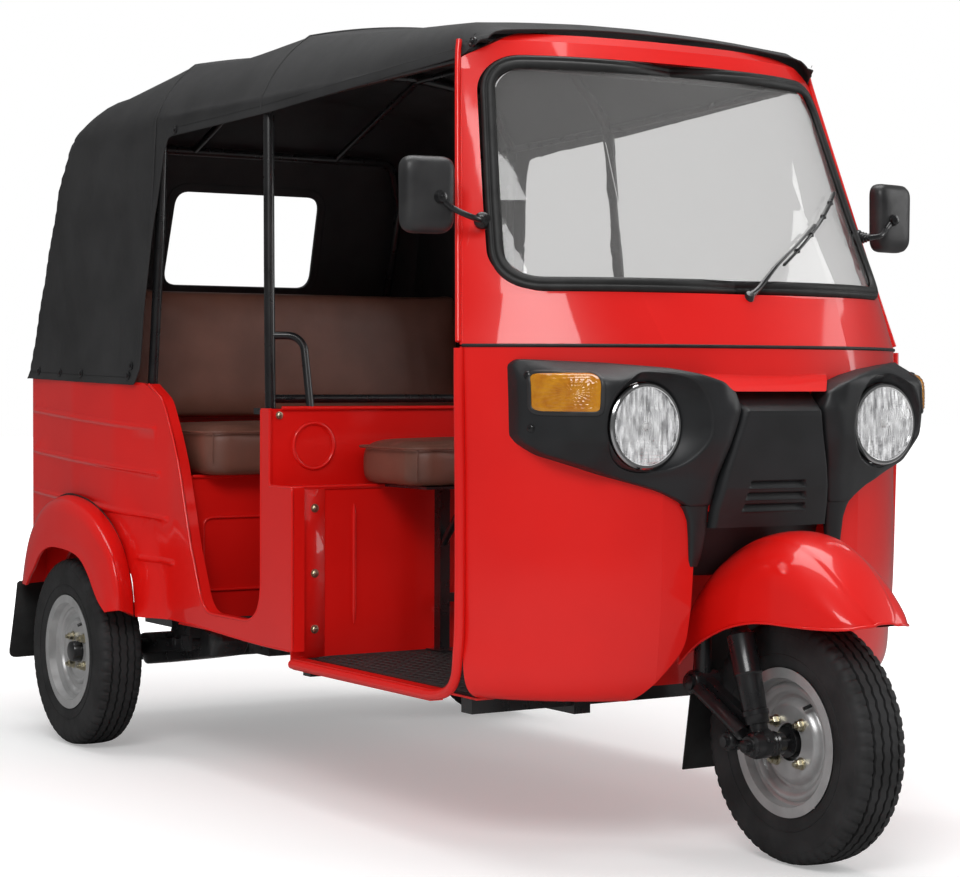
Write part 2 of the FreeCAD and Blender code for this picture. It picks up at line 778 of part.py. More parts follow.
panel = panel_form(0).common(mask_prism(PANEL_HALF, PANEL_BENDS)).cut(cowl_cutter)
panel_hollow = panel_form(9).common(mask_prism([(x - 5, z + 3) for x, z in PANEL_HALF], PANEL_BENDS))
panel = panel.cut(panel_hollow.common(box(-200, 200, -1300, -900, 600, 912)))
for half_slot, slot_z in LOUVRES:
    corners = [(half_slot - 2, slot_z + 6.5), (half_slot + 2, slot_z - 6.5)]
    slot = front_prism(symmetric_outline(corners), -1300, -900, 5)
    panel = panel.cut(slot.cut(panel_form(5)))
panel = panel.cut(front_shell)
shape_node("mask_centre_panel", max(panel.Solids, key=lambda solid: solid.Volume))

# fluted round headlamps: bowl with bezel ring, and the lens in front of it
lamp_pair = []
for label, side in (("headlamp_left", 1), ("headlamp_right", -1)):
    bowl = [
        (0, lamp_r - 9), (0, lamp_r - 3), (3, lamp_r), (14, lamp_r), (40, lamp_r - 14), (62, 44), (62, 0),
        (57, 0), (57, 40), (38, lamp_r - 19), (14, lamp_r - 9),
    ]
    lamp = revolved(label, bowl, side * lamp_x, lamp_y, lamp_z)
    lamp.Placement.Rotation = FreeCAD.Rotation(vec(0, 0, 1), 90)
    lamp_pair.append(lamp)
gathered("headlamps", lamp_pair)
lens_form = []
for side in (1, -1):
    ball = Part.makeSphere(170, vec(side * lamp_x, lamp_y + 158, lamp_z))
    inner_ball = Part.makeSphere(165, vec(side * lamp_x, lamp_y + 158, lamp_z))
    disc = rod(vec(side * lamp_x, lamp_y - 30, lamp_z), vec(side * lamp_x, lamp_y + 14, lamp_z), lamp_r - 9)
    lens_form.append(ball.cut(inner_ball).common(disc))
shape_node("headlamp_lenses", Part.makeCompound(lens_form))

lens = pod_form(4).cut(pod_form(-8)).common(indicator_prism)
shape_node("indicators", both_sides(lens))

# ---------------------------------------------------------------- mirrors and wiper

MIRROR_HALF = (60, 78)
mirror_head = front_prism(
    [(-MIRROR_HALF[0], -MIRROR_HALF[1]), (-MIRROR_HALF[0], MIRROR_HALF[1]), (MIRROR_HALF[0], MIRROR_HALF[1]),
     (MIRROR_HALF[0], -MIRROR_HALF[1])], -19, 19, 26)
mirror_head = mirror_head.makeFillet(9, [edge for edge in mirror_head.Edges if edge.BoundBox.YMax < -18.9])
mirror_head.rotate(vec(0, 0, 0), vec(0, 0, 1), 9)
mirror_head.translate(vec(605, -722, 1306))
mirror = joined([
    tube([vec(490, -741, 1258), vec(532, -770, 1262), vec(592, -724, 1290), vec(600, -718, 1310)], 6, 12),
    rod(vec(478, -728, 1258), vec(498, -750, 1258), 17),
    mirror_head,
]).cut(cowl_solid(UPPER_LEVELS, 0, 100, 0, 0)).cut(seal)
shape_node("mirrors", both_sides(mirror))

pivot = vec(8, -957, 1094)
screen_outer = cowl_solid(UPPER_LEVELS, 0, 60, 0, 0)
wiper = joined([
    rod(pivot + vec(0, 14, 0), pivot + vec(0, -34, 0), 9),
    tube([pivot + vec(0, -29, 0), vec(60, -976, 1138), vec(150, -926, 1215), vec(258, -872, 1272)], 4.5, 60),
    tube([vec(130, -925, 1192), vec(258, -868, 1272), vec(372, -797, 1346)], 5, 200),
])
shape_node("wiper", wiper.cut(cowl_solid(UPPER_LEVELS, 0.3, 60, 0, 0)))

# ---------------------------------------------------------------- chassis

gauge = dim("beam_half_gauge")
half_beam = dim("beam_width") * 0.5
beam_low = dim("beam_bottom")
beam_high = dim("beam_top")
arm_y = dim("arm_pivot_y")
arm_z = dim("arm_pivot_z")
arm_x = dim("arm_x")
cabin = dim("cabin_half_width")

rear_floor_low = dim("rear_floor_top") - 5
frame_parts = [
    box(gauge - half_beam, gauge + half_beam, -750, 1360, beam_low, beam_high),
    box(-cabin + 30, cabin - 30, -740, -700, beam_high - 30, beam_high),
    box(-cabin + 32, cabin - 32, -60, -25, beam_high - 30, beam_high),
    box(-cabin + 20, cabin - 20, arm_y - 22, arm_y + 22, beam_high, rear_floor_low),
    box(-gauge, gauge, arm_y - 22, arm_y + 22, beam_high - 30, beam_high),
    box(-gauge, gauge, 855, 890, beam_high - 30, beam_high),
    box(-gauge, gauge, 1230, 1262, beam_high - 30, beam_high),
    box(-gauge, gauge, 1330, 1360, beam_high - 30, beam_high),
    box(gauge - 20, gauge + 20, 1060, 1095, beam_high, 640),
    box(-arm_x - 25, arm_x + 25, 1060, 1095, 610, 640),
    box(gauge - 20, gauge + 20, 1330, 1360, beam_high, 420),
]
frame_parts.append(mirrored(frame_parts[0]))
frame_parts.append(mirrored(frame_parts[8]))
frame_parts.append(mirrored(frame_parts[10]))
for side in (1, -1):
    for lug in (-34, 24):
        low = min(side * (arm_x + lug), side * (arm_x + lug + 10))
        plate = box(low, low + 10, arm_y - 22, arm_y + 22, arm_z - 24, beam_high + 4)
        frame_parts.append(plate)
# towing eye under the tail
tow_eye = box(-6, 6, 1350, 1424, beam_low, beam_high).cut(
    rod(vec(-20, 1398, 285), vec(20, 1398, 285), dim("tow_eye_radius")))
frame_parts.append(tow_eye)
frame = joined(frame_parts)
shape_node("chassis_frame", frame)

# ---------------------------------------------------------------- floors

sill_low = dim("sill_bottom")
sill_high = dim("sill_top")
floor_top = dim("floor_top")
mat = dim("mat_thickness")
rear_floor = dim("rear_floor_top")
low_y = dim("partition_low_y")
front_y = dim("side_panel_front_y")

sill = box(cabin - 30, cabin, bulkhead_y + 1, front_y, sill_low, sill_high)
floor_plate = box(-cabin + 30, cabin - 30, bulkhead_y + 1, low_y, floor_top - 4, floor_top)
floor = joined([floor_plate, sill, mirrored(sill)])
floor = floor.cut(front_shell)

front_mat = extruded(
    "front_floor_mat", "XY_Plane",
    [
        (-cabin + 34, bulkhead_y + 8), (cabin - 34, bulkhead_y + 8), (cabin - 34, low_y - 6),
        (-cabin + 34, low_y - 6),
    ],
    mat, z=floor_top, symmetric=False,
)
side_wall = dim("panel_wall")
rear_pan = box(
    -cabin + side_wall, cabin - side_wall, low_y + side_wall, dim("seat_base_y"),
    rear_floor - 5, rear_floor - 1,
)
shape_node("floor_pans", Part.makeCompound([floor, rear_pan]))
rear_mat = extruded(
    "rear_floor_mat", "XY_Plane",
    [(-cabin + 24, dim("partition_low_y") + 30), (cabin - 24, dim("partition_low_y") + 30),
     (cabin - 24, dim("seat_base_y") - 4), (-cabin + 24, dim("seat_base_y") - 4)],
    mat, z=rear_floor - 1, symmetric=False,
)
gathered("floor_mats", [front_mat, rear_mat])

# partition: low box front, ledge and upper wall, folded from one sheet
high_y = dim("partition_high_y")
ledge = dim("partition_ledge")
part_top = dim("partition_top")
partition = extruded(
    "partition", "YZ_Plane",
    [
        (low_y, floor_top), (low_y, ledge), (high_y, ledge), (high_y, part_top),
        (high_y + side_wall, part_top), (high_y + side_wall, ledge - side_wall),
        (low_y + side_wall, ledge - side_wall), (low_y + side_wall, floor_top),
    ],
    (cabin - side_wall) * 2,
)

# bench base: front wall and deck
base_y = dim("seat_base_y")
deck = dim("seat_deck")
seat_base = extruded(
    "seat_base", "YZ_Plane",
    [
        (base_y, rear_floor - 1), (base_y, deck), (1040, deck), (1040, 930), (1350, 930), (1350, 926),
        (1044, 926), (1044, deck - side_wall), (base_y + side_wall, deck - side_wall),
        (base_y + side_wall, rear_floor - 1),
    ],
    (cabin - side_wall) * 2 - 8,
)

# ---------------------------------------------------------------- body sides and tail

rocker = dim("rocker_bottom")
waist = dim("waist_height")
rear_w = dim("rear_half_width")
rear_y = dim("rear_face_y")


def body_plan(inset, front_run, z_low, z_high):
    """Plan form of the rear body, sides bulging outwards to the tail."""
    half = [
        (cabin - inset, front_y - front_run), (cabin - inset, 600), (rear_w - 12 - inset, 860),
        (rear_w - inset, 1100), (rear_w - 8 - inset, rear_y - inset),
    ]
    points = half + [(-x, y) for x, y in reversed(half)]
    bends = (0, 300, 300, 300, 60, 60, 300, 300, 300, 0)
    return plan_prism(points, z_low, z_high, bends)


body_outer = body_plan(0, 0, 250, 1000)
body_wall = body_outer.cut(body_plan(side_wall, 20, 200, 1100))

LIP = [(654, 200), (654, 380), (765, 508), (1105, 508), (1222, 395), (1222, 200)]
LIP_BENDS = (0, 90, 150, 150, 90, 0)


def wheel_well(grow, x_low, x_high):
    points = [
        (654 - grow, 200), (654 - grow, 380), (765 - grow / 2, 508 + grow), (1105 + grow / 2, 508 + grow),
        (1222 + grow, 395), (1222 + grow, 200),
    ]
    return side_prism(points, x_low, x_high, LIP_BENDS)


waist_fall = dim("waist_fall")
SIDE_OUTLINE = [
    (front_y, rocker), (front_y, ledge), (high_y - 7, ledge), (high_y - 7, part_top + 1), (115, part_top + 1),
    (115, 383), (418, 383), (492, 540), (560, 735), (640, 892), (720, waist - waist_fall),
    (rear_y + 20, waist),
    (rear_y + 20, 395), (1100, 395), (1000, 350), (640, 350),
]
SIDE_BENDS = (0, 0, 0, 0, 0, 95, 80, 120, 200, 60, 60, 0, 0, 0, 0, 0)
side_form = side_prism(SIDE_OUTLINE, -700, 700, SIDE_BENDS)
side_split = 520
sides = body_wall.common(side_form).cut(wheel_well(0, -700, 700))
# returns that stiffen the doorway edges
flange_front = box(cabin - 30, cabin - side_wall, front_y, front_y + side_wall, rocker, ledge)
flange_top = box(cabin - 30, cabin - side_wall, front_y, low_y, ledge - side_wall, ledge)
left_side = sides.common(box(side_split, 700, -100, 1500, 200, 1100))
# pressed ribs, each a bead of two tiers standing out of the panel
SIDE_RIBS = (
    # height, front end y, rear end y
    (842, 655, 1330), (730, 605, 1330), (620, 575, 848), (490, 535, 632),
)
RIB_TIERS = (
    # stands out, half height
    (1.6, 8), (3.2, 4.5),
)
ribs = []
for rib_z, rib_front, rib_rear in SIDE_RIBS:
    for proud, half_rib in RIB_TIERS:
        band = body_plan(-proud, 0, rib_z - half_rib, rib_z + half_rib).cut(body_outer)
        ends = 8 - half_rib
        ribs.append(band.common(box(side_split, 700, rib_front + ends, rib_rear - ends, 400, 900)))
left_side = joined([left_side, flange_front, flange_top.cut(flange_front)] + ribs)
shape_node("side_panels", both_sides(left_side))

lid_w = dim("lid_half_width")
lid_low = dim("lid_bottom")
lid_high = dim("lid_top")
lid_gap = dim("lid_gap")
tail = body_wall.common(box(-side_split, side_split, 1200, 1500, 395, waist))
opening = front_prism(symmetric_outline([(lid_w, lid_high), (lid_w, lid_low)]), 1300, 1500, 30)
tail_panel = tail.cut(opening)
bracket_low_x = 228
bracket_high_x = 272
hinge_y = rear_y + 9
hinge_z = lid_high + 3
hinge_pin = 4
knuckle = 8


def knuckle_strip(x_low, x_high, up):
    """Hinge knuckle with its leaf, running up to the body or down to the lid."""
    eye = rod(vec(x_low, hinge_y, hinge_z), vec(x_high, hinge_y, hinge_z), knuckle)
    if up:
        leaf = box(x_low, x_high, rear_y, rear_y + 4, hinge_z, hinge_z + 28)
    else:
        leaf = box(x_low, x_high, rear_y, rear_y + 4, hinge_z - 28, hinge_z)
    return eye.fuse(leaf)


pin_hole = rod(vec(-400, hinge_y, hinge_z), vec(400, hinge_y, hinge_z), hinge_pin + 0.3)
pin_rod = rod(vec(-264, hinge_y, hinge_z), vec(264, hinge_y, hinge_z), hinge_pin)
body_eyes = [knuckle_strip(x, x + 24, True) for x in (170, 236, -194, -260)]
fixed = joined(body_eyes).cut(body_outer)
tail_panel = joined([tail_panel, fixed, pin_rod])
# slots that the bumper brackets pass through
bracket_slot = box(bracket_low_x - 2, bracket_high_x + 2, 1380, 1410, 416, 444)
tail_panel = tail_panel.cut(both_sides(bracket_slot))
shape_node("tail_panel", tail_panel)

lid_form = front_prism(
    symmetric_outline([(lid_w - lid_gap, lid_high - lid_gap), (lid_w - lid_gap, lid_low + lid_gap)]),
    1300, 1500, 26,
)
lid = tail.common(lid_form)
lid_eyes = [knuckle_strip(x, x + 30, False) for x in (200, -230)]
lid = joined([lid] + [eye.cut(body_outer) for eye in lid_eyes]).cut(pin_hole)
bolt_x = dim("plate_bolt_half_gap")
bolt_hole = rod(vec(bolt_x, 1350, 670), vec(bolt_x, 1450, 670), dim("plate_bolt_radius"))
lid = lid.cut(both_sides(bolt_hole))
shape_node("engine_lid", lid)
plate = extruded("number_plate", "XZ_Plane", [(-150, 560), (150, 560), (150, 690), (-150, 690)], 2.5,
                 y=rear_y + 2.5, symmetric=False)
for number, sign in enumerate((-1, 1)):
    hole = "plate_hole_%d" % number
    drilled(plate, "XZ_Plane", sign * dim("plate_bolt_half_gap"), 670, dim("plate_bolt_radius"), hole)

# flared rear fenders
FENDER_RINGS = (
    # x, front y, front arc y, front arc z, top y, top z, rear y, rear top z
    (540, 672, 748, 535, 935, 634, 1396, 612),
    (600, 672, 748, 535, 935, 632, 1396, 610),
    (648, 658, 738, 520, 935, 610, 1390, 590),
    (675, 650, 722, 480, 935, 548, 1380, 532),
)


def fender_form(inset, x_shift):
    wires = []
    for x, front, arc_y, arc_z, top_y, top_z, back, back_z in FENDER_RINGS:
        x = x - x_shift
        low = 372 + inset
        rear_low = 392 + inset
        first = vec(x, front + inset, low)
        middle = vec(x, arc_y + 0.8 * inset, arc_z - 0.7 * inset)
        top = vec(x, top_y, top_z - inset)
        rear = vec(x, back - inset, back_z - inset)
        foot = vec(x, back - inset, rear_low)
        wires.append(Part.Wire([
            Part.Arc(first, middle, top).toShape(),
            Part.LineSegment(top, rear).toShape(),
            Part.LineSegment(rear, foot).toShape(),
            Part.LineSegment(foot, first).toShape(),
        ]))
    return Part.makeLoft(wires, True, True)


fender = fender_form(0, 0).cut(fender_form(4, 4).cut(wheel_well(4, 500, 700)))
fender = fender.cut(wheel_well(0, 500, 700)).cut(body_outer)
fender = max(fender.Solids, key=lambda solid: solid.Volume)
shape_node("rear_fenders", both_sides(fender))
flap = box(592, 668, 1316, 1322, 186, 398).cut(fender)
flap = max(flap.Solids, key=lambda solid: solid.Volume)
shape_node("rear_mudflaps", both_sides(flap))

tail_pair = []
for label, side in (("tail_lamp_left", 1), ("tail_lamp_right", -1)):
    lamp = extruded(label, "XZ_Plane", [(-38, -75), (38, -75), (38, 75), (-38, 75)], 22,
                    x=side * 440, y=rear_y + 22, z=640, symmetric=False)
    tail_pair.append(lamp)
gathered("tail_lamps", tail_pair)

bumper_y = rear_y + 21
bumper = joined([
    rod(vec(-500, bumper_y, 430), vec(500, bumper_y, 430), 16),
    both_sides(box(bracket_low_x, bracket_high_x, 1360, bumper_y, 418, 442)),
    both_sides(box(bracket_low_x, bracket_high_x, 1356, 1364, 350, 442)),
])
bumper = bumper.cut(frame)
shape_node("rear_bumper", bumper)

# ---------------------------------------------------------------- power unit and rear suspension

engine = joined([
    box(-170, 170, 892, 1228, beam_high, 560),
    box(-110, 110, 915, 1035, 200, beam_high),
])
sockets = rod(vec(-140, rear_axle_y, axle_z), vec(140, rear_axle_y, axle_z), 12.6)
cups = rod(vec(-112, rear_axle_y, axle_z), vec(112, rear_axle_y, axle_z), 26)
engine = joined([engine, cups]).cut(sockets.cut(box(-100, 100, 900, 1100, 100, 400)))
shape_node("engine_block", engine)
silencer = joined([
    rod(vec(-200, 1290, 215), vec(210, 1290, 215), 55),
    tube([vec(120, 1290, 215), vec(120, 1290, 290), vec(120, 1228, 340)], 18, 30),
    box(-190, -170, 1270, 1310, 262, 290),
])
shape_node("silencer", silencer.cut(engine).cut(frame))

carrier = rod(vec(455, rear_axle_y, axle_z), vec(526, rear_axle_y, axle_z), 34)
pivot_eye = rod(vec(arm_x - 22, arm_y, arm_z - 4), vec(arm_x + 22, arm_y, arm_z - 4), 19)
pivot_end = closed_wire([
    vec(arm_x - 20, arm_y, arm_z - 18), vec(arm_x + 20, arm_y, arm_z - 18),
    vec(arm_x + 20, arm_y, arm_z + 3), vec(arm_x - 20, arm_y, arm_z + 3)])
wheel_end = closed_wire([
    vec(arm_x - 22, rear_axle_y, axle_z - 22), vec(arm_x + 22, rear_axle_y, axle_z - 22),
    vec(arm_x + 22, rear_axle_y, axle_z + 26), vec(arm_x - 22, rear_axle_y, axle_z + 26)])
beam = Part.makeLoft([pivot_end, wheel_end], True, True)
foot = rod(vec(arm_x, 1010, 236), vec(arm_x, 1030, 300), 16)
pin = rod(vec(arm_x - 40, arm_y, arm_z - 4), vec(arm_x + 40, arm_y, arm_z - 4), 8)
bore = rod(vec(400, rear_axle_y, axle_z), vec(600, rear_axle_y, axle_z), 16 + dim("pin_clearance"))
arm = joined([carrier, pivot_eye, beam, foot, pin]).cut(bore).cut(frame)
arm = max(arm.Solids, key=lambda solid: solid.Volume)
spring = joined([
    rod(vec(arm_x, 1030, 300), vec(arm_x, 1072, 520), 30),
    rod(vec(arm_x, 1072, 520), vec(arm_x, 1080, 612), 12),
]).cut(frame).cut(arm)
spring = max(spring.Solids, key=lambda solid: solid.Volume)
shape_node("rear_arms", both_sides(arm))
shape_node("rear_dampers", both_sides(spring))

# ---------------------------------------------------------------- seats

soft = dim("soft_clearance")
bench = dim("bench_half")
seat = extruded("bench_cushion", "XY_Plane", [(-bench, 483), (bench, 483), (bench, 922), (-bench, 922)], 122,
                z=deck + soft, symmetric=False)
rounded(seat, 24, lambda edge: edge.Length > 100, "bench_cushion_rolls")
back = extruded(
    "bench_backrest", "YZ_Plane",
    [(928, 838), (955, 1176), (1015, 1180), (base_y + 470 - soft, 1100), (base_y + 470 - soft, 838)],
    (bench + 20) * 2,
)
rounded(back, 22, lambda edge: edge.Length > 900, "bench_backrest_rolls")
driver_w = dim("driver_seat_half")
driver_deck = ledge + side_wall
cushion = extruded(
    "driver_cushion", "XY_Plane", [(-driver_w, -240), (driver_w, -240), (driver_w, 67), (-driver_w, 67)],
    98, z=driver_deck + soft, symmetric=False,
)
rounded(cushion, 22, lambda edge: edge.Length > 50, "driver_cushion_rolls")

stand = joined([
    box(-300, 300, -215, -30, driver_deck - 6, driver_deck),
    box(-178, -152, -74, -48, floor_top + mat, driver_deck - 6),
    box(152, 178, -74, -48, floor_top + mat, driver_deck - 6),
    box(-190, -140, -100, -30, floor_top + mat, floor_top + mat + 5),
    box(140, 190, -100, -30, floor_top + mat, floor_top + mat + 5),
    box(-178, 178, -70, -52, 430, 450),
    tube([vec(-165, -61, 560), vec(-165, -190, driver_deck - 8)], 9, 10),
    tube([vec(165, -61, 560), vec(165, -190, driver_deck - 8)], 9, 10),
])
shape_node("driver_seat_stand", stand)

# ---------------------------------------------------------------- canopy

CANOPY_RINGS = (
    # y, side half width, side top z, shoulder x, shoulder z, crown z, hem half width
    (-672, 454, 1600, 384, 1656, 1673, 472),
    (-590, 464, 1606, 408, 1676, 1694, 482),
    (-200, 484, 1596, 388, 1710, 1744, 502),
    (197, 500, 1590, 374, 1744, 1788, 520),
    (480, 518, 1588, 402, 1722, 1766, 542),
    (700, 536, 1584, 428, 1728, 1774, 571),
    (1010, 556, 1572, 470, 1672, 1716, 595),
    (1430, 566, 1566, 480, 1650, 1690, 595),
)
hem = dim("canopy_hem")
cloth = dim("canopy_wall")
eave = dim("eave_height")


def ring_wire(ring, inset, foot):
    y, width, side_z, shoulder_x, shoulder_z, crown, hem_width = ring
    flare = (hem_width - width) / (side_z - hem)
    low = vec(width + flare * (side_z - foot) - inset, y, foot)
    side = vec(width - inset, y, side_z)
    shoulder = vec(shoulder_x - 0.7 * inset, y, shoulder_z - 0.8 * inset)
    centre = vec(0, y, crown - inset)
    chord = shoulder - side
    bulge = (side + shoulder) * 0.5 + vec(-chord.z, 0, chord.x) / chord.Length * -14
    flip = lambda point: vec(-point.x, point.y, point.z)
    return Part.Wire([
        Part.LineSegment(low, side).toShape(),
        Part.Arc(side, bulge, shoulder).toShape(),
        Part.Arc(shoulder, centre, flip(shoulder)).toShape(),
        Part.Arc(flip(shoulder), flip(bulge), flip(side)).toShape(),
        Part.LineSegment(flip(side), flip(low)).toShape(),
        Part.LineSegment(flip(low), low).toShape(),
    ])


def canopy_form(inset, foot):
    return Part.makeLoft([ring_wire(ring, inset, foot) for ring in CANOPY_RINGS], True, True)


hem_fall = waist_fall
ROOF_SIDE = [
    (-672, 1640), (-612, 1598), (164, eave), (636, 1538), (656, 1494), (700, 1230), (722, 968),
    (748, hem - hem_fall),
    (1414, hem), (1248, 1488), (1190, 1585), (1000, 1740), (700, 1900), (-672, 1900),
]
ROOF_BENDS = (0, 30, 0, 20, 30, 0, 30, 20, 0, 60, 60, 80, 0, 0)
ROOF_INNER = [
    (-668, 700), (1475, 700), (1409, hem), (1244, 1486), (1187, 1582), (998, 1735), (700, 1896), (-668, 1896),
]
outer_roof = canopy_form(0, 925).common(side_prism(ROOF_SIDE, -700, 700, ROOF_BENDS))
inner_roof = canopy_form(cloth, 650).common(side_prism(ROOF_INNER, -700, 700, (0, 0, 0, 60, 60, 80, 0, 0)))
canopy = outer_roof.cut(inner_roof)
window = front_prism(symmetric_outline([(225, 1462), (232, 1203)]), 1100, 1500, 42)
canopy = canopy.cut(window)
canopy = canopy.cut(cowl_solid(UPPER_LEVELS, 1, 40, 0, 2))
canopy = max(canopy.Solids, key=lambda solid: solid.Volume)
shape_node("canopy", canopy)

tube_r = dim("tube_radius")
hang = cloth + soft + tube_r + 1


def bow_points(ring, inset):
    y, width, side_z, shoulder_x, shoulder_z, crown = ring[:6]
    half = [
        vec(width - inset, y, side_z - 10), vec(shoulder_x - 0.7 * inset, y, shoulder_z - 0.8 * inset),
        vec(shoulder_x * 0.5, y, (shoulder_z + 3 * crown) / 4 - inset - 4),
    ]
    return half + [vec(-point.x, point.y, point.z) for point in reversed(half)]


def post_pair(feet, ring):
    """One hoop: posts up both sides joined by the roof bow."""
    return tube(feet + bow_points(ring, hang) + [vec(-p.x, p.y, p.z) for p in reversed(feet)], tube_r, 60)


b_ring = CANOPY_RINGS[3]
c_ring = CANOPY_RINGS[5]
b_hoop = post_pair([vec(505, 142, part_top + 1), vec(497, 164, 1191)], b_ring)
c_hoop = post_pair([vec(530, 742, 872), vec(520, 714, 1291)], c_ring)
frame_tubes = [b_hoop, c_hoop]
front_bow = bow_points(CANOPY_RINGS[1], hang + 2)
rear_hoop = [
    vec(462, 1356, 932), vec(462, 1205, 1440), vec(400, 1150, 1560), vec(-400, 1150, 1560),
    vec(-462, 1205, 1440), vec(-462, 1356, 932),
]
frame_tubes.append(tube(rear_hoop, tube_r, 60))
for side in (1, -1):
    rail = [
        vec(side * (b_ring[1] - hang), 197, 1575), vec(side * (c_ring[1] - hang), 700, 1568),
    ]
    frame_tubes.append(tube([vec(side * 440, -586, 1600)] + rail, 9, 200))
    frame_tubes.append(tube([rail[1], vec(side * 462, 1190, 1475)], 9, 100))
    purlin = [
        vec(side * 220, -560, 1664), vec(side * 220, 197, 1745), vec(side * 220, 700, 1735),
        vec(side * 220, 1150, 1560),
    ]
    frame_tubes.append(tube(purlin, 9, 60))
    handle = [vec(side * 499, 152, 1043), vec(side * 432, 120, 1043), vec(side * 432, 84, part_top)]
    frame_tubes.append(tube(handle, 9, 40))
post_foot = box(490, 536, high_y + side_wall, 165, 862, part_top + 1)
waist_lug = box(528, 558, 728, 760, 884, 924).cut(body_wall).common(body_outer)
frame_tubes.append(both_sides(post_foot))
frame_tubes.append(both_sides(waist_lug))
frame_tubes.append(rod(vec(-502, 143, 897), vec(502, 143, 897), 10))
frame_tubes.append(rod(vec(-446, -584, 1598), vec(446, -584, 1598), 12))
canopy_frame = joined(frame_tubes).cut(upper_cowl).cut(partition.Shape).cut(seat_base.Shape)
shape_node("canopy_frame", canopy_frame)

# ---------------------------------------------------------------- dashboard and steering gear

dash_aft = -888
dash = cowl_solid(UPPER_LEVELS[:2], -pillar, 0, 0, 0).common(box(-600, 600, -1300, dash_aft, 1062, 1086))
face = cowl_solid(UPPER_LEVELS[:2], -pillar, 0, 60, 0)
face = face.common(box(-600, 600, dash_aft - 18, dash_aft, 1018, 1062))
shape_node("dashboard", dash.fuse(face).removeSplitter())

fork_x = dim("fork_side_x")
fork_r = dim("fork_tube_radius")
link_y = dim("link_pivot_y")
link_z = dim("link_pivot_z")
front_y_axle = dim("front_axle_y")
crown_low = steer_point(540)
fork = joined([
    rod(steer_point(985), steer_point(520), stem_r),
    tube(
        [steer_point(535), vec(-fork_x, crown_low.y + 4, 500), vec(-fork_x, link_y, link_z)], fork_r + 2, 30),
    tube([vec(-fork_x, crown_low.y + 4, 490), vec(-fork_x, -1048, 520)], 10, 10),
    rod(vec(-fork_x - 24, link_y, link_z), vec(-fork_x + 24, link_y, link_z), 22),
])
fork_eye = fork.cut(rod(vec(-fork_x - 11, link_y, link_z), vec(-fork_x + 11, link_y, link_z), 30).common(
    box(-200, 0, link_y - 40, link_y + 40, link_z - 60, link_z + 24)))
link_plate = side_prism(
    [(link_y + 20, link_z + 4), (link_y + 4, link_z + 22), (front_y_axle - 14, axle_z + 24),
     (front_y_axle - 26, axle_z + 4), (front_y_axle - 8, axle_z - 26), (link_y + 12, link_z - 20)],
    -fork_x - 11, -fork_x + 11, 12,
)
axle_pin = rod(vec(-fork_x - 34, front_y_axle, axle_z), vec(62, front_y_axle, axle_z), pin_r)
boss = rod(vec(-fork_x - 32, front_y_axle, axle_z), vec(-60, front_y_axle, axle_z), 22)
link = joined([link_plate, axle_pin, boss])
fork = fork.cut(link)
shape_node("front_fork", fork.removeSplitter())
shape_node("front_link", link)
damper_low = vec(-fork_x, front_y_axle + 14, axle_z + 18)
damper_high = vec(-fork_x, -1050, 526)
damper = joined([
    rod(damper_low, damper_low + (damper_high - damper_low) * 0.62, 19),
    rod(damper_low, damper_high, 10),
]).cut(link).cut(fork)
shape_node("front_damper", max(damper.Solids, key=lambda solid: solid.Volume))

bar_top = steer_point(975)
handlebar = joined([
    tube([vec(-330, bar_top.y + 110, 985), vec(-120, bar_top.y + 20, 992), vec(120, bar_top.y + 20, 992),
          vec(330, bar_top.y + 110, 985)], 12, 60),
    box(-80, 80, bar_top.y - 30, bar_top.y + 50, 960, 1010),
]).cut(fork)
shape_node("handlebar", handlebar)
grips = []
for side in (1, -1):
    grips.append(rod(vec(side * 345, bar_top.y + 116.5, 984.5), vec(side * 235, bar_top.y + 69, 988), 17))
grips = both_sides(grips[0]).cut(handlebar)
shape_node("handlebar_grips", Part.makeCompound(grips.Solids))

MUDGUARD_RINGS = (
    # y, half width, skirt z, flank z, crown z
    (-1436, 34, 488, 492, 500),
    (-1405, 84, 484, 505, 545),
    (-1330, 112, 478, 520, 606),
    (-1200, 123, 482, 538, 647),
    (-1080, 124, 470, 540, 646),
    (-985, 126, 428, 500, 604),
    (-905, 122, 372, 420, 500),
)


def mudguard_form(inset, drop):
    wires = []
    for number, (y, width, skirt, flank, crown) in enumerate(MUDGUARD_RINGS):
        end = 1 if number == 0 else 0
        foot = vec(max(width - inset, 4), y + inset * end, skirt - drop)
        side = vec(max(width - inset, 4) * 0.95, y + inset * end, flank)
        top = vec(0, y + inset * end, crown - inset)
        shoulder = vec(side.x * 0.74, y + inset * end, flank + (top.z - flank) * 0.66)
        flip = lambda point: vec(-point.x, point.y, point.z)
        wires.append(Part.Wire([
            Part.LineSegment(foot, side).toShape(),
            Part.Arc(side, shoulder, top).toShape(),
            Part.Arc(top, flip(shoulder), flip(side)).toShape(),
            Part.LineSegment(flip(side), flip(foot)).toShape(),
            Part.LineSegment(flip(foot), foot).toShape(),
        ]))
    return Part.makeLoft(wires, True, False)


shroud = mudguard_form(0, 0).cut(mudguard_form(4, 60))
shroud = shroud.cut(rod(steer_point(420), steer_point(700), stem_r + 0.2))
shroud = shroud.cut(fork).cut(damper)
shape_node("front_mudguard", max(shroud.Solids, key=lambda solid: solid.Volume))
apron_top = box(-84, 84, -909, -905, 372, 540).common(mudguard_form(4.3, 10))
apron = side_prism([(-909, 376), (-905, 376), (-868, 150), (-872, 150)], -84, 84)
shape_node("front_mudflap", joined([apron, apron_top]))

# ---------------------------------------------------------------- check and export

doc.recompute()
for item in NODES:
    if "Invalid" in item.State or "Error" in item.State:
        raise ValueError("bad state: " + item.Label)
    if item.Shape.isNull() or not item.Shape.isValid() or item.Shape.Volume < 1:
        raise ValueError("bad shape: " + item.Label)
for item in NODES:
    item.Shape.exportStep("parts/%s.step" % item.Label)
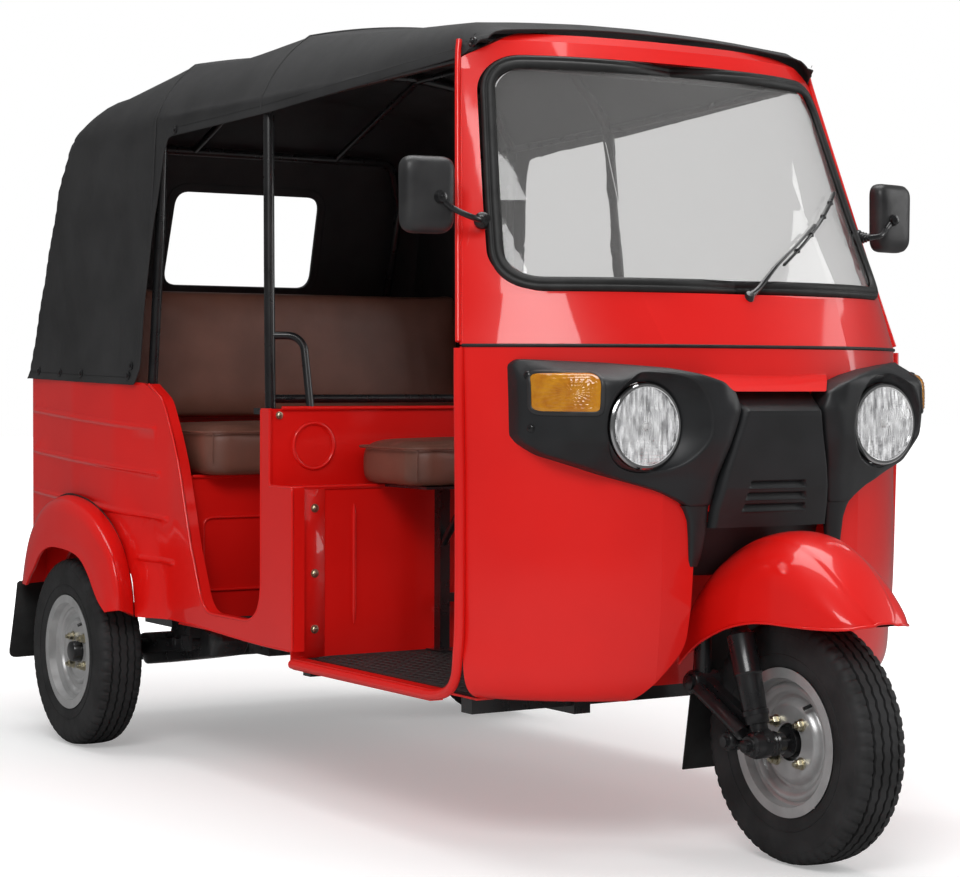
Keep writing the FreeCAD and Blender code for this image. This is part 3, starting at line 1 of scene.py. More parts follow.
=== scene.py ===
import json
import math

import bmesh
import bpy
import mathutils.noise
from mathutils import Matrix, Vector


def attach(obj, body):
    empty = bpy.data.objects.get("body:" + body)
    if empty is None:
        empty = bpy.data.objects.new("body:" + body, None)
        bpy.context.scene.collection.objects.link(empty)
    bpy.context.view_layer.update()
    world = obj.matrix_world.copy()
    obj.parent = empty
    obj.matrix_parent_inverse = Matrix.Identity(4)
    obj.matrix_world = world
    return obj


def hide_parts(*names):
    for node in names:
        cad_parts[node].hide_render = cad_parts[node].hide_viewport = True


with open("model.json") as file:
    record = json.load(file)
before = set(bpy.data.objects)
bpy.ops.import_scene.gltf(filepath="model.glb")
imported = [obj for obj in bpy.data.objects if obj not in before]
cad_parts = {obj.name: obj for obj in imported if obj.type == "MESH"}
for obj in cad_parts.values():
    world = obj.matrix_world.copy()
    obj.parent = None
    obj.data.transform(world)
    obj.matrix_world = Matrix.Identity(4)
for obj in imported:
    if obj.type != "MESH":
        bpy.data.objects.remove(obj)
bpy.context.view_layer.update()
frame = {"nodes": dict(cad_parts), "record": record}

NODES = frame["nodes"]

# ---------------------------------------------------------------- materials


def blank_material(name):
    """A new material with its Principled shader, ready for detail nodes."""
    item = bpy.data.materials.new(name)
    item.use_nodes = True
    return item, item.node_tree.nodes["Principled BSDF"]


def add_node(item, kind, **settings):
    """A new node in the material's tree, with the given settings."""
    node = item.node_tree.nodes.new(kind)
    for key, value in settings.items():
        setattr(node, key, value)
    return node


def link(item, source, target):
    """Joins a socket of one node to a socket of another."""
    item.node_tree.links.new(source, target)


def place_coordinates(item, stretch):
    """Object coordinates in metres, so that a pattern keeps its real size; stretch squeezes it by axis."""
    where = add_node(item, "ShaderNodeTexCoord")
    mapping = add_node(item, "ShaderNodeMapping")
    mapping.inputs["Scale"].default_value = stretch
    link(item, where.outputs["Object"], mapping.inputs["Vector"])
    return mapping.outputs["Vector"]


def noise(item, scale, detail=3.0, roughness=0.5, stretch=(1, 1, 1)):
    """Cloudy pattern whose scale is in 1/m."""
    node = add_node(item, "ShaderNodeTexNoise")
    node.inputs["Scale"].default_value = scale
    node.inputs["Detail"].default_value = detail
    node.inputs["Roughness"].default_value = roughness
    link(item, place_coordinates(item, stretch), node.inputs["Vector"])
    return node.outputs["Fac"]


def ramp(item, factor, low, high):
    """Colour that runs from low to high as the factor goes from 0.35 to 0.65."""
    node = add_node(item, "ShaderNodeValToRGB")
    for element, position, colour in zip(node.color_ramp.elements, (0.35, 0.65), (low, high)):
        element.position = position
        element.color = (*colour, 1)
    link(item, factor, node.inputs["Fac"])
    return node.outputs["Color"]


def spread(item, factor, low, high):
    """A number that runs from low to high as the factor goes from 0.3 to 0.7."""
    node = add_node(item, "ShaderNodeMapRange")
    for name, value in (("From Min", 0.3), ("From Max", 0.7), ("To Min", low), ("To Max", high)):
        node.inputs[name].default_value = value
    link(item, factor, node.inputs["Value"])
    return node.outputs["Result"]


def bump(item, height, distance):
    """Relief of the given depth in metres."""
    node = add_node(item, "ShaderNodeBump")
    node.inputs["Distance"].default_value = distance
    node.inputs["Strength"].default_value = 1.0
    link(item, height, node.inputs["Height"])
    return node.outputs["Normal"]


def surface(name, dark, light, rough, rough_swing=0.04, patch=6.0, grain=None, grain_depth=0.0002,
            stretch=(1, 1, 1), **sockets):
    """Finish with uneven colour and roughness, and a fine grain in its relief.

    dark and light are the two colours that the patches run between; patch and grain are scales
    in 1/m, and grain_depth is in metres; sockets are the shader's own fixed values.
    """
    item, shader = blank_material(name)
    patches = noise(item, patch, 4.0, stretch=stretch)
    link(item, ramp(item, patches, dark, light), shader.inputs["Base Color"])
    fine = noise(item, patch * 3.1, 5.0)
    link(item, spread(item, fine, rough - rough_swing, rough + rough_swing), shader.inputs["Roughness"])
    if grain:
        link(item, bump(item, noise(item, grain, 4.0, 0.6), grain_depth), shader.inputs["Normal"])
    for socket, value in sockets.items():
        shader.inputs[socket.replace("_", " ")].default_value = value
    return item


RED = surface("red_paint", (0.74, 0.007, 0.005), (0.80, 0.010, 0.007), 0.34, 0.03, 3.0, 900.0, 0.00002,
              Coat_Weight=0.75, Coat_Roughness=0.05, Specular_IOR_Level=0.25)
RUBBER = surface("black_rubber", (0.010, 0.010, 0.010), (0.018, 0.018, 0.018), 0.55, 0.05, 30.0, 700.0, 0.0002)
TYRE = surface("tyre_rubber", (0.016, 0.016, 0.0165), (0.028, 0.028, 0.029), 0.66, 0.06, 14.0, 900.0, 0.0003)
CHARCOAL = surface("charcoal_plastic", (0.014, 0.015, 0.016), (0.019, 0.020, 0.022), 0.46, 0.04, 10.0, 1600.0,
                   0.00012)
PLASTIC = surface("black_plastic", (0.022, 0.022, 0.023), (0.034, 0.034, 0.035), 0.42, 0.05, 16.0, 1500.0, 0.0001)
STEEL = surface("black_steel", (0.008, 0.008, 0.009), (0.015, 0.015, 0.016), 0.30, 0.05, 12.0, 700.0, 0.00004,
                Coat_Weight=0.5, Coat_Roughness=0.12)
CAST = surface("cast_metal", (0.10, 0.10, 0.10), (0.19, 0.19, 0.19), 0.55, 0.08, 25.0, 500.0, 0.0004, Metallic=1.0)
PIPE = surface("silencer_steel", (0.05, 0.048, 0.045), (0.11, 0.10, 0.095), 0.5, 0.08, 18.0, 600.0, 0.0002,
               Metallic=1.0)
SILVER = surface("silver_rim", (0.50, 0.50, 0.50), (0.60, 0.60, 0.60), 0.34, 0.05, 20.0, 1200.0, 0.00006,
                 Metallic=0.62)
CHROME = surface("lamp_chrome", (0.80, 0.80, 0.81), (0.88, 0.88, 0.88), 0.12, 0.03, 20.0, Metallic=1.0)
ZINC = surface("zinc_bolt", (0.55, 0.50, 0.36), (0.66, 0.61, 0.46), 0.35, 0.08, 80.0, 900.0, 0.0001, Metallic=1.0)
PLATE = surface("plate_white", (0.78, 0.78, 0.76), (0.84, 0.84, 0.83), 0.35, 0.04, 12.0, 900.0, 0.00004)


def glass_material(name, tint, rough, grey):
    """Clear glass: light passes but for the grey share, and the face keeps a sharp gloss."""
    item, shader = blank_material(name)
    shader.inputs["Base Color"].default_value = (*tint, 1)
    shader.inputs["Transmission Weight"].default_value = 1.0 - grey
    shader.inputs["IOR"].default_value = 1.45
    link(item, spread(item, noise(item, 3.0), rough, rough + 0.02), shader.inputs["Roughness"])
    return item


GLASS = glass_material("clear_glass", (0.64, 0.635, 0.63), 0.0, 0.10)
LENS = glass_material("clear_lens", (0.95, 0.95, 0.95), 0.02, 0.0)
# lamp reflector: its colour runs from dark to light in stretched patches, painted shade and painted reflection of its
# facets
FACET_SHADED_REFLECTOR = surface("lamp_reflector_painted_shade", (0.22, 0.22, 0.225), (0.88, 0.88, 0.89), 0.10, 0.04, 30.0,
                    stretch=(4.0, 1.0, 0.8), Metallic=1.0)
AMBER = surface("amber_lens", (0.72, 0.24, 0.006), (0.95, 0.40, 0.014), 0.18, 0.03, 30.0, 500.0, 0.0001,
                Transmission_Weight=0.35, Coat_Weight=1.0)
RED_LENS = surface("red_lens", (0.45, 0.004, 0.004), (0.6, 0.008, 0.006), 0.16, 0.03, 30.0, 500.0, 0.0001,
                   Transmission_Weight=0.3, Coat_Weight=1.0)
BULB = surface("frosted_bulb", (0.80, 0.80, 0.80), (0.88, 0.88, 0.88), 0.25, 0.03, 60.0)
LEATHER = surface("brown_leather", (0.140, 0.056, 0.038), (0.190, 0.078, 0.054), 0.38, 0.07, 7.0, 700.0, 0.0005)
CANVAS = surface("grey_canvas", (0.023, 0.023, 0.024), (0.034, 0.034, 0.035), 0.74, 0.06, 5.0, 1300.0, 0.0005)
THREAD = surface("seam_thread", (0.006, 0.006, 0.006), (0.012, 0.012, 0.012), 0.8, 0.05, 90.0)

SLOT_FINISH = {
    "red_paint": RED, "black_rubber": RUBBER, "mat_rubber": RUBBER, "clear_glass": GLASS,
    "charcoal_plastic": CHARCOAL, "lamp_chrome": CHROME, "amber_lens": AMBER, "red_lens": RED_LENS,
    "black_plastic": PLASTIC, "black_steel": STEEL, "cast_metal": CAST, "silencer_steel": PIPE,
    "brown_leather": LEATHER, "grey_canvas": CANVAS, "tyre_rubber": TYRE, "silver_rim": SILVER,
    "plate_white": PLATE,
}


def dress(node, finish):
    """Gives a CAD node its finish."""
    slots = NODES[node].data.materials
    slots.clear()
    slots.append(finish)


for entry in frame["record"]["subparts"]:
    dress(entry["node"], SLOT_FINISH[entry["material_slot"]])

# ---------------------------------------------------------------- mesh tools

MM = 0.001
DOWN = Vector((0, 0, -1))
REARWARD = Vector((0, 1, 0))


def metres(*values):
    """Vector in metres from values in mm."""
    return Vector([value * MM for value in values])


def spokes(first, second, sides):
    """Unit vectors evenly round a circle in the plane of two unit vectors."""
    turns = [2 * math.pi * side / sides for side in range(sides)]
    return [first * math.cos(turn) + second * math.sin(turn) for turn in turns]


class Form:
    """Points and faces gathered for one piece."""

    def __init__(self):
        self.points = []
        self.faces = []

    def add(self, points, faces):
        """Adds points, and faces that count from the first of them."""
        first = len(self.points)
        self.points.extend(Vector(point) for point in points)
        self.faces.extend([tuple(first + corner for corner in face) for face in faces])

    def rows(self, rows, closed_across=False, closed_along=False, cap=False):
        """Skin over rows of equally many points."""
        count = len(rows[0])
        faces = []
        last_row = len(rows) if closed_along else len(rows) - 1
        last_column = count if closed_across else count - 1
        for row in range(last_row):
            after = (row + 1) % len(rows)
            for column in range(last_column):
                beside = (column + 1) % count
                faces.append((row * count + column, row * count + beside, after * count + beside,
                              after * count + column))
        if cap:
            faces.append(tuple(reversed(range(count))))
            faces.append(tuple((len(rows) - 1) * count + column for column in range(count)))
        self.add([point for row in rows for point in row], faces)

    def pipe(self, path, radius, sides=10, closed=False):
        """Round bar along the points, of one radius or one for each point."""
        path = [Vector(point) for point in path]
        count = len(path)
        radii = radius if isinstance(radius, (list, tuple)) else [radius] * count
        normal = None
        rows = []
        for index, point in enumerate(path):
            back = path[(index - 1) % count] if closed or index else point
            ahead = path[(index + 1) % count] if closed or index < count - 1 else point
            along = (ahead - back).normalized()
            if normal is None:
                helper = Vector((0, 0, 1)) if abs(along.z) < 0.9 else Vector((1, 0, 0))
                normal = along.cross(helper).normalized()
            else:
                normal = (normal - along * normal.dot(along)).normalized()
            across = along.cross(normal)
            rows.append([point + spoke * radii[index] for spoke in spokes(normal, across, sides)])
        self.rows(rows, closed_across=True, closed_along=closed, cap=not closed)

    def lathe(self, centre, axis, profile, sides=32):
        """Profile of (along the axis, radius) turned about the axis, in metres."""
        axis = Vector(axis).normalized()
        helper = Vector((0, 0, 1)) if abs(axis.z) < 0.9 else Vector((1, 0, 0))
        first = axis.cross(helper).normalized()
        round_about = spokes(first, axis.cross(first), sides)
        centre = Vector(centre)
        rows = [[centre + axis * along + spoke * radius for spoke in round_about] for along, radius in profile]
        self.rows(rows, closed_across=True, cap=True)

    def screw(self, place, axis, radius, height):
        """Domed screw head with a cross recess ring and a washer."""
        self.lathe(place, axis, [
            (-0.001, radius * 1.35), (height * 0.25, radius * 1.35), (height * 0.3, radius * 1.02),
            (height * 0.75, radius), (height, radius * 0.72), (height * 1.05, radius * 0.35),
            (height * 0.7, radius * 0.3), (height * 0.7, 0.0001),
        ], 18)

    def bolt(self, place, axis, radius, height):
        """Hexagon head on a washer, with the end of its thread."""
        washer = radius * 1.7
        self.lathe(place, axis, [(-0.001, washer), (height * 0.18, washer), (height * 0.24, washer * 0.9)], 24)
        self.lathe(place, axis, [(0, radius * 1.12), (height * 0.85, radius * 1.12), (height, radius * 0.92)], 6)
        self.lathe(place, axis, [(height * 0.9, radius * 0.55), (height * 1.35, radius * 0.55),
                                 (height * 1.45, radius * 0.4)], 14)

    def block(self, low, high, edge=0.002):
        """Box with softened edges."""
        low = Vector(low)
        high = Vector(high)
        levels = [(low.z, edge), (low.z + edge, 0), (high.z - edge, 0), (high.z, edge)]
        rows = []
        for z, inset in levels:
            x0, x1, y0, y1 = low.x + inset, high.x - inset, low.y + inset, high.y - inset
            rows.append([(x0 + edge, y0, z), (x1 - edge, y0, z), (x1, y0 + edge, z), (x1, y1 - edge, z),
                         (x1 - edge, y1, z), (x0 + edge, y1, z), (x0, y1 - edge, z), (x0, y0 + edge, z)])
        self.rows(rows, closed_across=True, cap=True)

    def mirror(self):
        """Adds the same again across the centre plane."""
        first = len(self.points)
        self.points.extend([Vector((-p.x, p.y, p.z)) for p in self.points])
        self.faces.extend([tuple(first + corner for corner in reversed(face)) for face in self.faces])


def make_piece(name, form, finish, body, stands_for=(), material=None, sharp=40.0):
    """Object from a Form, riding on a body, with the finish of one of the record's slots.

    stands_for names the CAD nodes it takes the place of; material is a look of its own; edges
    that turn by more than sharp degrees stay hard, and 0 leaves every edge soft.
    """
    mesh = bpy.data.meshes.new(name)
    mesh.from_pydata([tuple(point) for point in form.points], [], form.faces)
    work = bmesh.new()
    work.from_mesh(mesh)
    bmesh.ops.remove_doubles(work, verts=work.verts, dist=1e-6)
    bmesh.ops.recalc_face_normals(work, faces=work.faces)
    for face in work.faces:
        face.smooth = True
    if sharp:
        for edge in work.edges:
            edge.smooth = len(edge.link_faces) != 2 or edge.calc_face_angle(0) < math.radians(sharp)
    work.to_mesh(mesh)
    work.free()
    item = bpy.data.objects.new(name, mesh)
    bpy.context.scene.collection.objects.link(item)
    mesh.materials.append(material or SLOT_FINISH[finish])
    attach(item, body)
    if stands_for:
        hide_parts(*stands_for)
    return item


def blended(low, high, part):
    """Value a share of the way from low to high."""
    return low + (high - low) * part


def eased(part):
    """0 to 1 with soft ends."""
    part = min(max(part, 0.0), 1.0)
    return part * part * (3 - 2 * part)


def lookup(table, where, column=1):
    """Straight-line value of a table of rows that start with the place."""
    if where <= table[0][0]:
        return table[0][column]
    for before, after in zip(table, table[1:]):
        if where <= after[0]:
            return blended(before[column], after[column], (where - before[0]) / (after[0] - before[0]))
    return table[-1][column]


def smooth_path(points, steps):
    """Catmull-Rom curve through the points, with so many steps between two of them."""
    points = [Vector(point) for point in points]
    result = []
    for index in range(len(points) - 1):
        p1, p2 = points[index:index + 2]
        p0 = points[index - 1] if index else p1 * 2 - p2
        p3 = points[index + 2] if index < len(points) - 2 else p2 * 2 - p1
        for step in range(steps):
            t = step / steps
            result.append(0.5 * ((2 * p1) + (p2 - p0) * t + (2 * p0 - 5 * p1 + 4 * p2 - p3) * t * t
                                 + (3 * p1 - p0 - 3 * p2 + p3) * t * t * t))
    result.append(points[-1])
    return result


def bezier(start, control, finish, part):
    """Point on the curve that leaves start and reaches finish, pulled to the control point."""
    return start * (1 - part) ** 2 + control * 2 * part * (1 - part) + finish * part ** 2


def rounded_loop(corners, radii, spacing, closed=True):
    """Points every so far along a flat polygon whose corners, given as pairs, are arcs.

    radii is one radius, or one for each corner.
    """
    corners = [Vector((*corner, 0)) for corner in corners]
    count = len(corners)
    radii = radii if isinstance(radii, (list, tuple)) else [radii] * count
    legs = []
    for index in range(count):
        here = corners[index]
        if not closed and index in (0, count - 1):
            legs.append([here])
            continue
        back = corners[index - 1] - here
        ahead = corners[(index + 1) % count] - here
        angle = back.angle(ahead)
        if radii[index] <= 0 or angle > math.pi - 0.01:
            legs.append([here])
            continue
        setback = min(radii[index] / math.tan(angle / 2), 0.49 * back.length, 0.49 * ahead.length)
        start = here + back.normalized() * setback
        finish = here + ahead.normalized() * setback
        turns = max(3, int((math.pi - angle) / 0.12))
        legs.append([bezier(start, here, finish, step / turns) for step in range(turns + 1)])
    line = [point for leg in legs for point in leg]
    if closed:
        line.append(line[0])
    lengths = [0.0]
    for before, after in zip(line, line[1:]):
        lengths.append(lengths[-1] + (after - before).length)
    total = lengths[-1]
    number = max(3, int(round(total / spacing)))
    result = []
    place = 0
    for step in range(number if closed else number + 1):
        target = total * step / number
        while place < len(lengths) - 2 and lengths[place + 1] < target:
            place += 1
        span = max(lengths[place + 1] - lengths[place], 1e-9)
        result.append(line[place].lerp(line[place + 1], (target - lengths[place]) / span))
    return result


# ---------------------------------------------------------------- cowl surface

# Level sections of the cowl in mm, as the solids have them: height, rear x and y, side x and y,
# front corner x and y, and the y of the middle of the front.
COWL_LEVELS = (
    (312, 500, -755, 405, -868, 236, -958, -972), (328, 530, -760, 436, -880, 244, -984, -1000),
    (370, 545, -764, 450, -888, 250, -1002, -1018), (480, 551, -768, 458, -892, 250, -1014, -1030),
    (700, 557, -772, 461, -893, 250, -1020, -1036), (900, 562, -775, 459, -890, 242, -1016, -1031),
    (1012, 564, -777, 455, -885, 232, -1002, -1018), (1112, 546, -747, 466, -838, 250, -945, -966),
    (1300, 513, -692, 436, -765, 240, -858, -882), (1574, 466, -613, 398, -668, 220, -732, -748),
    (1634, 456, -600, 380, -645, 205, -698, -712), (1654, 440, -590, 360, -620, 190, -668, -680),
)


def circle_of(a, b, c):
    """Centre and radius of the circle through three points in a plane."""
    d = 2 * (a[0] * (b[1] - c[1]) + b[0] * (c[1] - a[1]) + c[0] * (a[1] - b[1]))
    squares = [point[0] ** 2 + point[1] ** 2 for point in (a, b, c)]
    x = (squares[0] * (b[1] - c[1]) + squares[1] * (c[1] - a[1]) + squares[2] * (a[1] - b[1])) / d
    y = (squares[0] * (c[0] - b[0]) + squares[1] * (a[0] - c[0]) + squares[2] * (b[0] - a[0])) / d
    return x, y, math.hypot(a[0] - x, a[1] - y)


def cowl_y(x, z):
    """The y in mm of the cowl's face at a width and height in mm."""
    level = [lookup(COWL_LEVELS, z, column) for column in range(8)]
    rear, side, corner = level[1:3], level[3:5], level[5:7]
    circles = (circle_of(rear, side, corner), circle_of(corner, (0, level[7]), (-corner[0], corner[1])))
    return max(cy - math.sqrt(max(radius ** 2 - (abs(x) - cx) ** 2, 0.0)) for cx, cy, radius in circles)


def cowl_point(x, z, proud=0.0):
    """Point in metres on the cowl's face, or standing off it by so many mm."""
    return metres(x, cowl_y(x, z), z) + cowl_normal(x, z) * (proud * MM)


def cowl_normal(x, z):
    """Outward direction of the cowl's face."""
    step = 2.0
    slope_x = (cowl_y(x + step, z) - cowl_y(x - step, z)) / (2 * step)
    slope_z = (cowl_y(x, z + step) - cowl_y(x, z - step)) / (2 * step)
    return Vector((slope_x, -1, slope_z)).normalized()


def band_on(path, normals, section):
    """Rows of points for a strip along a closed path: section is (across, out) pairs in metres."""
    rows = []
    for index, (point, out) in enumerate(zip(path, normals)):
        along = path[(index + 1) % len(path)] - path[index - 1]
        across = along.cross(out).normalized()
        rows.append([point + across * side + out * up for side, up in section])
    return rows


# ---------------------------------------------------------------- wheels

TYRE_SECTION = (
    # across the tyre, radius, from one bead to the other, in mm
    (-50, 146), (-55, 152), (-56.5, 165), (-57.5, 180), (-58, 194), (-57.8, 206), (-57, 216), (-55.4, 224),
    (-52.5, 230), (-48.5, 234), (-43, 236.6),
)
TREAD_COLUMNS = (-38, -33.4, -32.2, -28.6, -27.4, -22, -16, -13.2, -12.0, -8.4, -7.2, -2.5)
# how far the two grooves of each side run from the middle, in mm
GROOVES = (30.3, 10.0)
GROOVE_DEPTH = 7.0
TREAD_STEPS = 336
STEPS_PER_ZIGZAG = 6
# radius and place across of the rings moulded in the walls, in mm
TYRE_RINGS = ((172.0, 57.2), (214.0, 56.4))


def tread_radius(across):
    """Crown of the tread in mm without its grooves."""
    return 240 - 3.0 * (abs(across) / 43.0) ** 2.4


def make_tyre(name, body, centre):
    """Tyre with zigzag grooves, shoulder sipes and rings moulded in its walls."""
    half = list(TYRE_SECTION) + [(across, None) for across in TREAD_COLUMNS]
    section = half + [(-across, radius) for across, radius in reversed(half)]
    rows = []
    for step in range(TREAD_STEPS):
        turn = 2 * math.pi * step / TREAD_STEPS
        beat = step % STEPS_PER_ZIGZAG
        zigzag = (abs(beat / STEPS_PER_ZIGZAG * 2 - 1) * 2 - 1) * 1.5
        row = []
        for across, radius in section:
            if radius is None:
                radius = tread_radius(across)
                if any(abs(abs(across) - middle) < 2.1 for middle in GROOVES):
                    radius -= GROOVE_DEPTH
                if abs(across) > 5:
                    across += zigzag * (0.5 if abs(across) > 30 else 1.0)
                if abs(across) > 33.0 and beat in (0, 1):
                    radius -= 3.4
                if 13.0 < abs(across) < 27.5 and beat == 2:
                    radius -= 1.2
            elif radius > 214 and beat in (0, 1):
                radius -= 3.4 if radius > 228 else 2.0
            wall = 0.5 if 186 < radius < 200 and step % 2 else 0.0
            row.append(centre + metres(across + math.copysign(wall, across), radius * math.sin(turn),
                                       -radius * math.cos(turn)))
        rows.append(row)
    form = Form()
    form.rows(rows, closed_along=True)
    for radius, across in TYRE_RINGS:
        for side in (1, -1):
            middle = centre + metres(side * across, 0, 0)
            form.pipe([middle + spoke * radius * MM for spoke in spokes(DOWN, REARWARD, 96)], 0.0011, 6,
                      closed=True)
    make_piece(name + "_tread", form, "tyre_rubber", body, (name,), sharp=35.0)


# ---------------------------------------------------------------- headlamp mask

LAMP_PLACE = (304, -1040, 855)
LAMP_RADIUS = 84
POD_ROWS = (
    # height, inner foot x, then how far forward the pod stands at each station, in mm
    (984, 150, (1050, 1056, 1045, 990, 936, 897, 868, 852)),
    (968, 140, (1060, 1078, 1074, 1040, 985, 945, 885, 862)),
    (945, 130, (1076, 1094, 1090, 1076, 1042, 990, 905, 868)),
    (885, 104, (1080, 1098, 1092, 1078, 1046, 992, 908, 870)),
    (830, 119, (1072, 1092, 1088, 1074, 1040, 985, 905, 868)),
    (790, 130, (1062, 1078, 1072, 1050, 1005, 945, 890, 862)),
    (755, 139, (1052, 1064, 1056, 1022, 968, 918, 878, 858)),
    (700, 150, (1042, 1050, 1044, 1010, 954, 912, 876, 856)),
    (560, 160, (1030, 1033, 1030, 1010, 954, 912, 876, 856)),
)
# x of the last five stations of a row; the first three lie at its foot and 22 and 62 mm beside it
POD_STATIONS = (300, 398, 452, 488, 512)
POD_OUTLINE = (
    (118, 921), (150, 940), (197, 955), (254, 967), (357, 977), (490, 984), (500, 972), (498, 835), (489, 820),
    (464, 798), (363, 759), (262, 728), (216, 706), (205, 697), (150, 697), (136, 769), (114, 846), (104, 889),
)
# radius of each corner of the outline, in mm
POD_BENDS = (8, 90, 90, 200, 300, 16, 8, 14, 20, 60, 300, 200, 30, 10, 8, 200, 120, 20)


def pod_front(x, z):
    """Forward place of the pod's face in mm, straight between the rows and stations."""
    x = min(x, 511.9)
    fronts = []
    for row in POD_ROWS:
        across = [row[1], row[1] + 22, row[1] + 62] + list(POD_STATIONS)
        fronts.append((row[0], lookup(list(zip(across, row[2])), x)))
    return lookup(list(reversed(fronts)), z)


# grid over the pod in mm: its step, its lowest x and z, and how many points it has each way
RASTER_STEP = 4.0
RASTER_LOW = (80.0, 540.0)
RASTER_SIZE = (114, 118)


def make_raster():
    """The pod's face sampled on a grid and softened, so that its creases are rounded."""
    values = [[pod_front(RASTER_LOW[0] + RASTER_STEP * i, RASTER_LOW[1] + RASTER_STEP * j)
               for j in range(RASTER_SIZE[1])] for i in range(RASTER_SIZE[0])]
    for _ in range(9):
        fresh = [row[:] for row in values]
        for i in range(1, RASTER_SIZE[0] - 1):
            for j in range(1, RASTER_SIZE[1] - 1):
                fresh[i][j] = (values[i][j] * 2 + values[i - 1][j] + values[i + 1][j] + values[i][j - 1]
                               + values[i][j + 1]) / 6
        values = fresh
    return values


POD_RASTER = make_raster()


def pod_y(x, z):
    """Smooth y in mm of the pod's face."""
    u = min(max((x - RASTER_LOW[0]) / RASTER_STEP, 0), RASTER_SIZE[0] - 1.001)
    v = min(max((z - RASTER_LOW[1]) / RASTER_STEP, 0), RASTER_SIZE[1] - 1.001)
    i, j = int(u), int(v)
    a = blended(POD_RASTER[i][j], POD_RASTER[i + 1][j], u - i)
    b = blended(POD_RASTER[i][j + 1], POD_RASTER[i + 1][j + 1], u - i)
    return -blended(a, b, v - j)


def pod_normal(x, z):
    """Outward direction of the pod's face."""
    slope_x = (pod_y(x + 3, z) - pod_y(x - 3, z)) / 6
    slope_z = (pod_y(x, z + 3) - pod_y(x, z - 3)) / 6
    return Vector((slope_x, -1, slope_z)).normalized()


def outline_reach(loop, centre, turn):
    """How far a ray from the centre runs to the outline, in mm."""
    direction = Vector((math.cos(turn), math.sin(turn)))
    best = 0.0
    for index, start in enumerate(loop):
        finish = loop[(index + 1) % len(loop)]
        edge = finish - start
        cross = direction.x * edge.y - direction.y * edge.x
        if abs(cross) < 1e-9:
            continue
        offset = start - centre
        along = (offset.x * edge.y - offset.y * edge.x) / cross
        part = (offset.x * direction.y - offset.y * direction.x) / cross
        if along > 0 and -1e-6 <= part <= 1 + 1e-6:
            best = max(best, along)
    return best


POD_EDGE = (
    # how far in from the outline, how far back from the face
    (0.0, 7.0), (0.8, 3.6), (2.4, 1.4), (5.0, 0.35), (8.5, 0.0),
)
POD_RAYS = 288
POD_RINGS = 30
BOWL_SLOPE = 0.62
BOWL_BOTTOM = -1036
BOWL_FOOT_Y = -1031
POD_BACK_Y = -1020
# the arm below the pod: height and x of its edges, then its section as (share across, how far back)
ARM_OUTER = ((579, 188), (592, 191), (630, 193), (668, 196), (690, 205), (700, 213))
ARM_INNER = ((579, 168), (600, 163), (640, 154), (700, 150))
ARM_SECTION = ((0, None), (0, 5), (0.05, 2), (0.14, 0.4), (0.3, 0), (0.5, 0), (0.7, 0), (0.86, 0.4), (0.95, 2),
               (1, 5), (1, None))


def pod_ray(centre, direction, reach):
    """Points of the pod along a ray from the lamp's middle, from the outline in to the lamp."""
    rim = LAMP_RADIUS + 20.0
    for _ in range(6):
        spot = centre + direction * rim
        rim = LAMP_RADIUS + 4.0 + max(BOWL_BOTTOM - pod_y(spot.x, spot.y), 2.0) * BOWL_SLOPE
    line = []

    def put(distance, back=0.0, y=None):
        spot = centre + direction * distance
        line.append(metres(spot.x, pod_y(spot.x, spot.y) + back if y is None else y, spot.y))

    foot = centre + direction * reach
    put(reach, y=cowl_y(foot.x, foot.y) + 3)
    for inward, back in POD_EDGE:
        put(reach - inward, back)
    start = reach - POD_EDGE[-1][0]
    for ring in range(1, POD_RINGS + 1):
        put(blended(start, rim + 7.0, (eased(ring / POD_RINGS) + ring / POD_RINGS) * 0.5))
    put(rim + 4.0, 0.5)
    put(rim + 1.5, 1.8)
    spot = centre + direction * rim
    rim_y = pod_y(spot.x, spot.y) + 4.5
    for part in even(9):
        hollow = 0.10 * math.sin(math.pi * part) * (rim - LAMP_RADIUS)
        put(blended(rim, LAMP_RADIUS + 1.5, part) + hollow, y=blended(rim_y, BOWL_FOOT_Y, part))
    put(LAMP_RADIUS + 1.0, y=POD_BACK_Y)
    return line


def make_pods():
    """Lamp pods: a rounded edge round the outline, a face, and a bowl down to the lamp."""
    loop = [point.xy for point in rounded_loop(POD_OUTLINE, POD_BENDS, 3.0)]
    centre = Vector((LAMP_PLACE[0], LAMP_PLACE[2]))
    turns = [2 * math.pi * ray / POD_RAYS for ray in range(POD_RAYS)]
    rays = [pod_ray(centre, Vector((math.cos(turn), math.sin(turn))), outline_reach(loop, centre, turn))
            for turn in turns]
    form = Form()
    form.rows([list(row) for row in zip(*rays)], closed_across=True)
    # the arm that runs down from the pod beside the wheel arch
    arm_rows = []
    for step in range(26):
        z = blended(699.0, 579.0, step / 25)
        row = []
        for part, back in ARM_SECTION:
            x = blended(lookup(ARM_INNER, z), lookup(ARM_OUTER, z), part)
            foot = cowl_y(x, z) + 4
            face = pod_y(x, z) + 3 + (0 if back is None else back) + 4 * max(0, (600 - z) / 21)
            row.append(metres(x, foot if back is None else min(face, foot), z))
        arm_rows.append(row)
    form.rows(arm_rows)
    count = len(ARM_SECTION)
    form.faces.append(tuple(len(form.points) - count + column for column in range(count)))
    form.mirror()
    make_piece("mask_pods", form, "charcoal_plastic", "body", ("headlamp_mask",), sharp=50.0)


# height and half width, then height and y, of the centre panel in mm
PANEL_EDGE = ((654, 147), (697, 144), (769, 130), (846, 108.5), (887, 98.5), (921, 112))
PANEL_FACE = ((640, -1044), (685, -1054), (732, -1067), (800, -1077), (874, -1087.5), (884, -1088), (893, -1077),
              (921, -1036))
